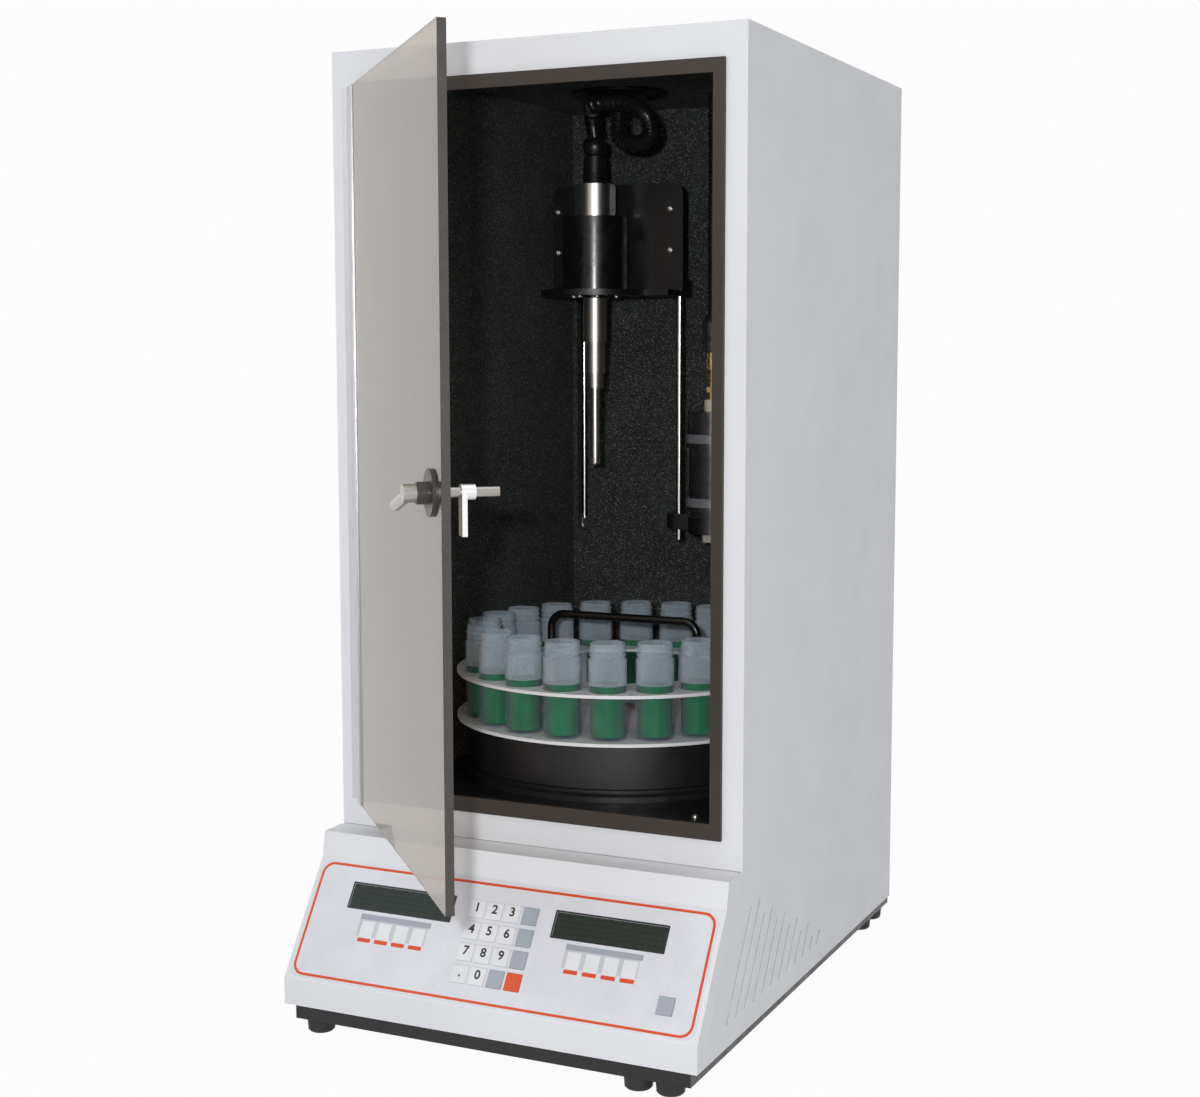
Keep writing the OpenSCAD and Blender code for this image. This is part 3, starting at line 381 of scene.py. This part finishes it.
def turned(name, rings, sides=48):  # a round piece drawn up ring by ring, as (radius, height)
    clearSelection()
    bpy.ops.mesh.primitive_circle_add(vertices=sides, radius=rings[0][0], fill_type="NGON")
    piece = bpy.context.object
    piece.name = name
    bpy.ops.object.mode_set(mode="EDIT")
    bpy.ops.mesh.select_all(action="SELECT")
    bpy.ops.transform.translate(value=(0, 0, rings[0][1]))
    for (oldRadius, oldHeight), (radius, height) in zip(rings, rings[1:]):
        bpy.ops.mesh.extrude_region_move(TRANSFORM_OT_translate={"value": (0, 0, height - oldHeight)})
        if abs(radius - oldRadius) > 1e-9:
            factor = radius / oldRadius
            bpy.ops.transform.resize(value=(factor, factor, 1), center_override=(0, 0, height))
    bpy.ops.mesh.select_all(action="SELECT")
    bpy.ops.mesh.normals_make_consistent(inside=False)
    bpy.ops.object.mode_set(mode="OBJECT")
    return smooth(piece)


def put(piece, matrix):  # moves a finished piece to its place
    piece.matrix_world = matrix
    return settle(piece)


def copied(piece, name):
    twin = piece.copy()
    twin.data = piece.data.copy()
    twin.name = name
    bpy.context.collection.objects.link(twin)
    return twin


def joined(name, parts):
    takeUp(parts[0])
    for part in parts:
        part.select_set(True)
    bpy.ops.object.join()
    whole = bpy.context.object
    whole.name = name
    return whole


def dressed(piece, finish, body):
    piece.data.materials.clear()
    piece.data.materials.append(finishes[finish])
    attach(piece, body)
    return piece


# camera, floor and light
view = {
    "eye": (742.5, -1445.95, 612.1),  # millimetres from the cabinet's front face
    "heading": 25.05,  # degrees to the left of straight ahead
    "dip": 5.98,
    "roll": 0.07,
    "focalPixels": 1854.0,
    "frameWidth": 1200,
    "centreRow": 543.9,
    "frameHeight": 1097,
    "sensor": 36,
}
cameraData = bpy.data.cameras.new("camera")
cameraData.sensor_fit = "HORIZONTAL"
cameraData.sensor_width = view["sensor"]
cameraData.lens = view["focalPixels"] / view["frameWidth"] * view["sensor"]
cameraData.shift_y = (view["centreRow"] - view["frameHeight"] / 2) / view["frameWidth"]
cameraData.clip_start = 0.05
cameraData.clip_end = 50
camera = bpy.data.objects.new("camera", cameraData)
bpy.context.collection.objects.link(camera)
camera.location = at(*view["eye"])
camera.rotation_euler = [math.radians(angle) for angle in (90 - view["dip"], view["roll"], view["heading"])]
bpy.context.scene.camera = camera

scene = bpy.context.scene
scene.view_settings.view_transform = "Standard"


def backdropShade(name, colour, cameraShare):  # pale surface that the camera sees as nearly white
    shade = Shade(name, Roughness=0.9)
    tone = shade.spread(shade.noise(2.0, 2.0), 0.0, 1.0)
    darker = [c * 0.985 for c in colour[:3]] + [1]
    shade.feed("Base Color", shade.mix(tone, darker, colour))
    path = shade.nodes.new("ShaderNodeLightPath")
    seen = Field(shade, path.outputs["Is Camera Ray"])
    mirrored = Field(shade, path.outputs["Is Glossy Ray"])
    through = Field(shade, path.outputs["Is Transmission Ray"])
    share = (seen + mirrored + through) * cameraShare
    glow = shade.nodes.new("ShaderNodeEmission")
    glow.inputs["Color"].default_value = (1, 1, 1, 1)
    blendShader = shade.nodes.new("ShaderNodeMixShader")
    limited = shade.node("ShaderNodeClamp", {}, {"Value": share})
    shade.links.new(limited.socket, blendShader.inputs[0])
    shade.links.new(shade.shader.outputs[0], blendShader.inputs[1])
    shade.links.new(glow.outputs[0], blendShader.inputs[2])
    shade.links.new(blendShader.outputs[0], shade.output.inputs["Surface"])
    return shade.material


clearSelection()
bpy.ops.mesh.primitive_plane_add(size=40, location=(0, 0, 0))
floor = bpy.context.object
floor.name = "floor"
floor.data.materials.append(backdropShade("floorPale", (0.86, 0.86, 0.87, 1), 0.955))

world = bpy.data.worlds.new("studio")
scene.world = world
world.use_nodes = True
worldNodes = world.node_tree.nodes
worldLinks = world.node_tree.links
ambient = worldNodes["Background"]
ambient.inputs["Color"].default_value = (0.96, 0.98, 1.0, 1)
ambient.inputs["Strength"].default_value = 0.42
whiteSky = worldNodes.new("ShaderNodeBackground")
whiteSky.inputs["Color"].default_value = (1, 1, 1, 1)
whiteSky.inputs["Strength"].default_value = 0.98
pathNode = worldNodes.new("ShaderNodeLightPath")
anySeen = worldNodes.new("ShaderNodeMath")
anySeen.operation = "MAXIMUM"
anyMirror = worldNodes.new("ShaderNodeMath")
anyMirror.operation = "MAXIMUM"
worldLinks.new(pathNode.outputs["Is Camera Ray"], anySeen.inputs[0])
worldLinks.new(pathNode.outputs["Is Transmission Ray"], anySeen.inputs[1])
worldLinks.new(anySeen.outputs[0], anyMirror.inputs[0])
worldLinks.new(pathNode.outputs["Is Glossy Ray"], anyMirror.inputs[1])
skyMix = worldNodes.new("ShaderNodeMixShader")
worldLinks.new(anyMirror.outputs[0], skyMix.inputs[0])
worldLinks.new(ambient.outputs[0], skyMix.inputs[1])
worldLinks.new(whiteSky.outputs[0], skyMix.inputs[2])
worldLinks.new(skyMix.outputs[0], worldNodes["World Output"].inputs["Surface"])

lamps = {  # name: place, target, size in metres, watts
    "flash": ((660, -1480, 680), (0, 100, 480), 0.05, 11.5),
    "keySoft": ((-700, -1900, 1500), (0, 0, 450), 1.6, 3.5),
    "topFill": ((100, -300, 2300), (0, 150, 500), 1.8, 4),
}
for lampName, (spot, target, size, watts) in lamps.items():
    lampData = bpy.data.lights.new(lampName, "AREA")
    lampData.shape = "DISK"
    lampData.size = size
    lampData.energy = watts
    lamp = bpy.data.objects.new(lampName, lampData)
    bpy.context.collection.objects.link(lamp)
    lamp.location = at(*spot)
    lamp.rotation_euler = (at(*target) - at(*spot)).to_track_quat("-Z", "Y").to_euler()
print("stage: camera, floor and lamps set")

# printed console
console = {
    "footY": -101.4, "footZ": 51.2, "topY": -36.52, "topZ": 146.9,
    "overlayThickness": 1.2,
    "borderLeft": -194.0, "borderRight": 194.0, "borderInset": 4.6, "borderRadius": 11.5, "borderLine": 2.3,
    "printHeight": 0.12,
    "displayCentres": (-104.0, 101.0), "displayWidth": 104.0, "displayHeight": 22.0, "displayDown": 32.5,
}
slopeY = console["topY"] - console["footY"]
slopeZ = console["topZ"] - console["footZ"]
slopeLength = math.hypot(slopeY, slopeZ)
slopeMatrix = (Matrix.Translation(at(0, console["footY"], console["footZ"]))
               @ Matrix.Rotation(math.atan2(slopeZ, slopeY), 4, "X"))


def rounded(name, low, high, radius, lift, segments):  # a flat rounded face in edit mode, millimetres
    clearSelection()
    centre = ((low[0] + high[0]) / 2 * mm, (low[1] + high[1]) / 2 * mm, lift * mm)
    bpy.ops.mesh.primitive_plane_add(size=1, location=centre)
    piece = bpy.context.object
    piece.name = name
    piece.scale = ((high[0] - low[0]) * mm, (high[1] - low[1]) * mm, 1)
    settle(piece)
    bpy.ops.object.mode_set(mode="EDIT")
    bpy.ops.mesh.select_all(action="SELECT")
    bpy.ops.mesh.bevel(offset=radius * mm, segments=segments, affect="VERTICES", offset_type="OFFSET")
    bpy.ops.mesh.select_all(action="SELECT")
    return piece


def raised(piece, height):
    bpy.ops.mesh.extrude_region_move(TRANSFORM_OT_translate={"value": (0, 0, height * mm)})
    bpy.ops.mesh.select_all(action="SELECT")
    bpy.ops.mesh.normals_make_consistent(inside=False)
    bpy.ops.object.mode_set(mode="OBJECT")
    return piece


def roundedPlate(name, low, high, radius, lift, height):
    return raised(rounded(name, low, high, radius, lift, 6), height)


def roundedLine(name, low, high, radius, width, lift, height):  # a closed printed line
    piece = rounded(name, low, high, radius, lift, 10)
    bpy.ops.mesh.inset(thickness=width * mm, depth=0)
    bpy.ops.mesh.delete(type="FACE")
    bpy.ops.mesh.select_all(action="SELECT")
    return raised(piece, height)


overlayTop = console["overlayThickness"]
borderLine = roundedLine(
    "borderLine", (console["borderLeft"], console["borderInset"]),
    (console["borderRight"], slopeLength - console["borderInset"]), console["borderRadius"],
    console["borderLine"], overlayTop, console["printHeight"])
dressed(put(borderLine, slopeMatrix), "printOrange", "cabinet")

softKeys = {
    "count": 4, "first": -26.5, "pitch": 17.5, "width": 13.0, "height": 0.6, "sunk": 0.3,
    "whiteFrom": 26.0, "whiteTo": 11.0, "orangeFrom": 30.0, "orangeTo": 26.6,
}
strips = {"half": 36.0, "from": 9.5, "to": 4.5, "height": 0.1, "round": 0.5}
field = {"right": 34.0, "from": 25.5, "to": 9.6, "height": 0.05}
bezel = {"margin": 1.4, "radius": 1.0, "height": 0.25}
whiteCaps, orangeBars, greyStrips, bezels, fields = [], [], [], [], []
top = slopeLength - console["displayDown"] - console["displayHeight"] / 2
keyLift = overlayTop - softKeys["sunk"]
for centre in console["displayCentres"]:
    low = (centre - strips["half"], top - strips["from"])
    high = (centre + strips["half"], top - strips["to"])
    greyStrips.append(roundedPlate("strip", low, high, strips["round"], overlayTop, strips["height"]))
    reach = console["displayWidth"] / 2 + bezel["margin"]
    bezels.append(roundedLine(
        "bezel", (centre - reach, top - bezel["margin"]),
        (centre + reach, top + console["displayHeight"] + bezel["margin"]),
        bezel["radius"], bezel["margin"], overlayTop, bezel["height"]))
    low = (centre - strips["half"], top - field["from"])
    high = (centre + field["right"], top - field["to"])
    fields.append(roundedPlate("field", low, high, strips["round"], overlayTop, field["height"]))
    for place in range(softKeys["count"]):
        left = centre + softKeys["first"] - softKeys["width"] / 2 + place * softKeys["pitch"]
        right = left + softKeys["width"]
        low, high = (left, top - softKeys["whiteFrom"]), (right, top - softKeys["whiteTo"])
        whiteCaps.append(roundedPlate("cap", low, high, 0.8, keyLift, softKeys["height"]))
        low, high = (left, top - softKeys["orangeFrom"]), (right, top - softKeys["orangeTo"])
        orangeBars.append(roundedPlate("bar", low, high, 0.4, keyLift, softKeys["height"]))
dressed(put(joined("displayBezels", bezels), slopeMatrix), "printDark", "cabinet")
dressed(put(joined("stripPrints", greyStrips), slopeMatrix), "printGrey", "cabinet")
dressed(put(joined("softKeyFields", fields), slopeMatrix), "fieldGrey", "cabinet")
dressed(put(joined("softKeyCaps", whiteCaps), slopeMatrix), "keyWhite", "cabinet")
dressed(put(joined("softKeyBars", orangeBars), slopeMatrix), "printOrange", "cabinet")

digits = {"size": 11.0, "depth": 0.12, "boldness": 0.28, "keyProud": 0.8, "gap": 0.05, "up": 0.9}
for keyName in whiteKeys:
    low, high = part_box("press_key_" + keyName)
    clearSelection()
    bpy.ops.object.text_add()
    legend = bpy.context.object
    legend.data.body = keyName if keyName.isdigit() else "."
    legend.data.size = digits["size"] * mm
    legend.data.align_x = "CENTER"
    legend.data.align_y = "CENTER"
    legend.data.extrude = digits["depth"] / 2 * mm
    legend.data.offset = digits["boldness"] * mm
    bpy.ops.object.convert(target="MESH")
    legend = bpy.context.object
    legend.name = "legend_" + keyName
    middle = slopeMatrix.inverted() @ ((low + high) / 2)
    lift = (overlayTop + digits["keyProud"] + digits["gap"]) * mm
    put(legend, slopeMatrix @ Matrix.Translation((middle.x, middle.y + digits["up"] * mm, lift)))
    dressed(legend, "printDark", "key_" + keyName)
print("stage: console printed")

# samples in the jars
samples = {"count": 20, "phase": 36.5, "circle": 137.0, "radius": 15.9, "bottom": 263.2}
depth = liquidLevel - samples["bottom"]
rings = [(12.0, 0), (14.6, 0.2), (samples["radius"], 1.4), (samples["radius"], depth),
         (samples["radius"] - 0.7, depth - 0.9), (4, depth - 1.2)]  # the surface is a little hollow
liquid = turned("sample", [(radius * mm, height * mm) for radius, height in rings], 40)
liquids = []
for number in range(samples["count"]):
    turn = math.radians(samples["phase"] + number * 360 / samples["count"])
    spot = Matrix.Translation((carouselX - samples["circle"] * mm * math.sin(turn),
                               carouselY + samples["circle"] * mm * math.cos(turn), samples["bottom"] * mm))
    liquids.append(put(copied(liquid, "sample"), spot))
bpy.data.objects.remove(liquid)
dressed(joined("greenSamples", liquids), "green", "carousel")
print("stage: jars filled")

# conduit
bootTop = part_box("motor_cap")[1].z
ceilingZ = 868 * mm
portLow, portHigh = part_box("ceiling_port")
portX = (portLow.x + portHigh.x) / 2
portY = (portLow.y + portHigh.y) / 2
conduit = {"radius": 8.5, "groove": 1.5, "ribs": 64, "sides": 20}
bends = [  # millimetres from the head's axis at the cap's top
    (0, 0, 48.1), (-1, -3, 63), (4, -14, 75), (22, -51, 74), (59, -55, 73),
    (81, -55, 60), (82, -46, 43), (65, -35, 35), (39, -25, 44),
]
route = [(headX + x * mm, headY + y * mm, bootTop + z * mm) for x, y, z in bends]
route += [(portX, portY, ceilingZ - 8 * mm), (portX, portY, ceilingZ + 5 * mm)]


def onRoute(points, share):  # the same smooth curve as the solid's
    spot = min(share, 0.99999) * (len(points) - 1)
    index = int(spot)
    t = spot - index
    a, b, c, d = [Vector(points[min(max(index + k, 0), len(points) - 1)]) for k in (-1, 0, 1, 2)]
    square = 2 * a - 5 * b + 4 * c - d
    cube = 3 * b - a - 3 * c + d
    return 0.5 * (2 * b + (c - a) * t + square * t * t + cube * t ** 3)


def along(points, steps):  # evenly shared stations of the curve, and their length
    line = [onRoute(points, step / steps) for step in range(steps + 1)]
    return line, sum((b - a).length for a, b in zip(line, line[1:]))


def ribbedTube(name, points, size):  # one rib after another along the curve
    radius = size["radius"] * mm
    groove = size["groove"] * mm
    ribs = size["ribs"]
    clearSelection()
    bpy.ops.mesh.primitive_circle_add(vertices=size["sides"], radius=radius, fill_type="NGON")
    piece = bpy.context.object
    piece.name = name
    bpy.ops.object.mode_set(mode="EDIT")
    bpy.ops.mesh.select_all(action="SELECT")
    pattern = [(0.0, 1), (0.18, 1), (0.34, 0), (0.78, 0), (0.94, 1)]
    stations = [(rib + offset) / ribs for rib in range(ribs) for offset, _ in pattern] + [1.0]
    widths = [radius - (1 - full) * groove for rib in range(ribs) for _, full in pattern] + [radius]
    start = onRoute(points, 0)
    heading = (onRoute(points, 0.004) - start).normalized()
    bpy.ops.transform.translate(value=start)
    turn = Vector((0, 0, 1)).rotation_difference(heading)
    axis, angle = turn.to_axis_angle()
    selected = Matrix.Translation(start) @ Matrix.Rotation(angle, 4, axis) @ Matrix.Translation(-start)
    bpy.ops.object.mode_set(mode="OBJECT")
    for vertex in piece.data.vertices:
        vertex.co = selected @ vertex.co
    bpy.ops.object.mode_set(mode="EDIT")
    lastWidth = radius
    for station, width in zip(stations[1:], widths[1:]):
        spot = onRoute(points, station)
        ahead = onRoute(points, min(station + 0.003, 1))
        newHeading = (ahead - onRoute(points, max(station - 0.003, 0))).normalized()
        bpy.ops.mesh.extrude_region_move(TRANSFORM_OT_translate={"value": spot - start})
        bpy.ops.transform.resize(value=(width / lastWidth,) * 3, center_override=spot)
        turn = heading.rotation_difference(newHeading)
        axis, angle = turn.to_axis_angle()
        if angle > 1e-5:
            facing = Matrix.Rotation(angle, 4, axis).to_euler()
            for letter, amount in zip("XYZ", facing):
                bpy.ops.transform.rotate(value=-amount, orient_axis=letter, center_override=spot)
        start, heading, lastWidth = spot, newHeading, width
    bpy.ops.mesh.select_all(action="SELECT")
    bpy.ops.mesh.normals_make_consistent(inside=False)
    bpy.ops.object.mode_set(mode="OBJECT")
    return smooth(piece, 50)


hose = ribbedTube("ribbedConduit", route, conduit)
hose.data.materials.clear()
hose.data.materials.append(finishes["hoseBlack"])
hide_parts("conduit")
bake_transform(hose)
conduitLine, conduitLength = along(route, 240)

# the dispenser's hose drops from the ceiling into a black connector
barrelLow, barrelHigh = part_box("dispenser_barrel")
dispenserX = (barrelLow.x + barrelHigh.x) / 2
dispenserY = (barrelLow.y + barrelHigh.y) / 2
hoseLow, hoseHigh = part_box("dispenser_hose")
feed = {"radius": 6.0, "groove": 0.7, "ribs": 58, "sides": 18, "connectorHeight": 38.0, "sway": 0.35}
connectorTop = hoseLow.z + feed["connectorHeight"] * mm
feedRoute = [(dispenserX, dispenserY, connectorTop - 2 * mm)]
for step in range(1, 7):
    level = connectorTop + (hoseHigh.z - 2 * mm - connectorTop) * step / 6
    feedRoute.append((dispenserX + feed["sway"] * mm * math.sin(2.1 * step), dispenserY, level))
feedHose = ribbedTube("dispenserHose", feedRoute, feed)
dressed(feedHose, "hoseBlack", "cabinet")
rings = [(9.5, 0), (11.8, 1.2), (11.8, 12), (10.6, 13), (10.6, 15),
         (11.8, 16), (11.8, 30), (9.2, 34), (8.0, 37.5), (6.6, 38)]
connector = turned("hoseConnector", [(radius * mm, height * mm) for radius, height in rings], 36)
put(connector, Matrix.Translation((dispenserX, dispenserY, hoseLow.z)))
dressed(connector, "barrelBlack", "cabinet")
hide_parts("dispenser_hose")
feedLine, feedLength = along(feedRoute, 120)
print("stage: conduit and hose hung")

# bands on the dispenser and the ivory collar above it
bands = {"radius": 27.15, "inner": 26.6, "edge": 0.5, "height": 9.4, "levels": (452.4, 517.2)}
bandPieces = []
for level in bands["levels"]:
    rings = [(bands["inner"], 0), (bands["radius"], bands["edge"]),
             (bands["radius"], bands["height"] - bands["edge"]), (bands["inner"], bands["height"])]
    band = turned("band", [(radius * mm, height * mm) for radius, height in rings], 72)
    bandPieces.append(put(band, Matrix.Translation((dispenserX, dispenserY, level * mm))))
dressed(joined("dispenserBands", bandPieces), "bandGrey", "cabinet")
rings = [(8.1, 0), (8.6, 0.6), (8.6, 11.6), (7.6, 12.6)]
collar = turned("ivoryCollar", [(radius * mm, height * mm) for radius, height in rings], 36)
put(collar, Matrix.Translation((dispenserX, dispenserY, barrelHigh.z + 0.2 * mm)))
dressed(collar, "ivory", "cabinet")

# screws
screws = {
    "headRadius": 3.0, "headHeight": 2.2,
    "shelfCircle": 22, "shelfAngles": (25, 80, 130, 205, 250, 300),
    "plateX": (-136, -8), "plateZ": (714, 756),
    "floorPlaces": ((145, 28), (-140, 28), (145, 350), (-140, 350)), "floorZ": 205,
}


def screwHead(name, radius, height):  # domed head with a round socket
    rings = [(radius, 0), (radius, height * 0.55), (radius * 0.86, height * 0.85), (radius * 0.55, height)]
    head = turned(name, rings, 24)
    takeUp(head)
    bpy.ops.object.mode_set(mode="EDIT")
    bpy.ops.mesh.select_mode(type="FACE")
    bpy.ops.mesh.select_all(action="DESELECT")
    bpy.ops.object.mode_set(mode="OBJECT")
    for face in head.data.polygons:
        face.select = face.normal.z > 0.99 and len(face.vertices) > 8
    bpy.ops.object.mode_set(mode="EDIT")
    bpy.ops.mesh.inset(thickness=radius * 0.08, depth=0)
    bpy.ops.mesh.extrude_region_move(TRANSFORM_OT_translate={"value": (0, 0, -height * 0.5)})
    bpy.ops.object.mode_set(mode="OBJECT")
    return head


model = screwHead("screw", screws["headRadius"] * mm, screws["headHeight"] * mm)
down = Matrix.Rotation(math.pi, 4, "X")
front = Matrix.Rotation(math.pi / 2, 4, "X")
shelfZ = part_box("motor_shelf")[0].z
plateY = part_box("head_plate")[0].y
shelfCircle = screws["shelfCircle"] * mm
shelfScrews = []
for angle in screws["shelfAngles"]:
    turn = math.radians(angle)
    spot = Vector((headX + shelfCircle * math.cos(turn), headY + shelfCircle * math.sin(turn), shelfZ))
    shelfScrews.append(put(copied(model, "shelfScrew"), Matrix.Translation(spot) @ down))
for x in screws["plateX"]:
    for z in screws["plateZ"]:
        spot = Matrix.Translation((x * mm, plateY, z * mm))
        shelfScrews.append(put(copied(model, "plateScrew"), spot @ front))
dressed(joined("headScrews", shelfScrews), "probeSteel", "head")
floorScrews = []
for x, y in screws["floorPlaces"]:
    spot = Matrix.Translation(at(x, y, screws["floorZ"]))
    floorScrews.append(put(copied(model, "floorScrew"), spot))
dressed(joined("floorScrews", floorScrews), "probeSteel", "cabinet")
bpy.data.objects.remove(model)
print("stage: screws set")

# door edge and frame joints
hingeAxis = Vector(frame["record"]["behaviour"]["joints"][0]["pos_m"])
doorOpen = math.radians(47.6)  # the door's angle at rest
doorMatrix = Matrix.Translation((hingeAxis.x, hingeAxis.y, 0)) @ Matrix.Rotation(-doorOpen, 4, "Z")
doorEdge = {"reach": 372.0, "half": 3.45, "bottom": 195.2, "top": 844.8, "thickness": 0.25}
strip = slab("doorEdge", Vector((doorEdge["reach"], -doorEdge["half"], doorEdge["bottom"])) * mm,
             Vector((doorEdge["reach"] + doorEdge["thickness"], doorEdge["half"], doorEdge["top"])) * mm)
dressed(put(bevelled(strip, 0.0001, 1), doorMatrix), "edgeDark", "door")

gasketLow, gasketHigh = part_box("door_gasket")
mitre = {"length": 14.4, "half": 0.12, "proud": 0.06, "sunk": 0.02, "inset": 0.4}
joints = []
for cornerX, cornerZ, sideX, sideZ in (
        (gasketLow.x, gasketLow.z, 1, 1), (gasketHigh.x, gasketLow.z, -1, 1),
        (gasketLow.x, gasketHigh.z, 1, -1), (gasketHigh.x, gasketHigh.z, -1, -1)):
    joint = slab("gasketJoint", Vector((0, -mitre["proud"], -mitre["half"])) * mm,
                 Vector((mitre["length"], mitre["sunk"], mitre["half"])) * mm)
    turn = Matrix.Rotation(math.atan2(-sideZ, sideX), 4, "Y")
    inset = mitre["inset"] * mm
    corner = Matrix.Translation((cornerX + sideX * inset, gasketLow.y, cornerZ + sideZ * inset))
    joints.append(put(joint, corner @ turn))
dressed(joined("gasketJoints", joints), "printDark", "cabinet")

# blank label on the motor cap
capLow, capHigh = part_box("motor_cap")
labelLow = Vector((capHigh.x - 0.05 * mm, headY - 6 * mm, capLow.z + 4 * mm))
labelHigh = Vector((capHigh.x + 0.25 * mm, headY + 5.5 * mm, capHigh.z - 2 * mm))
label = slab("capLabel", labelLow, labelHigh)
dressed(bevelled(label, 0.0001, 1), "labelGrey", "head")
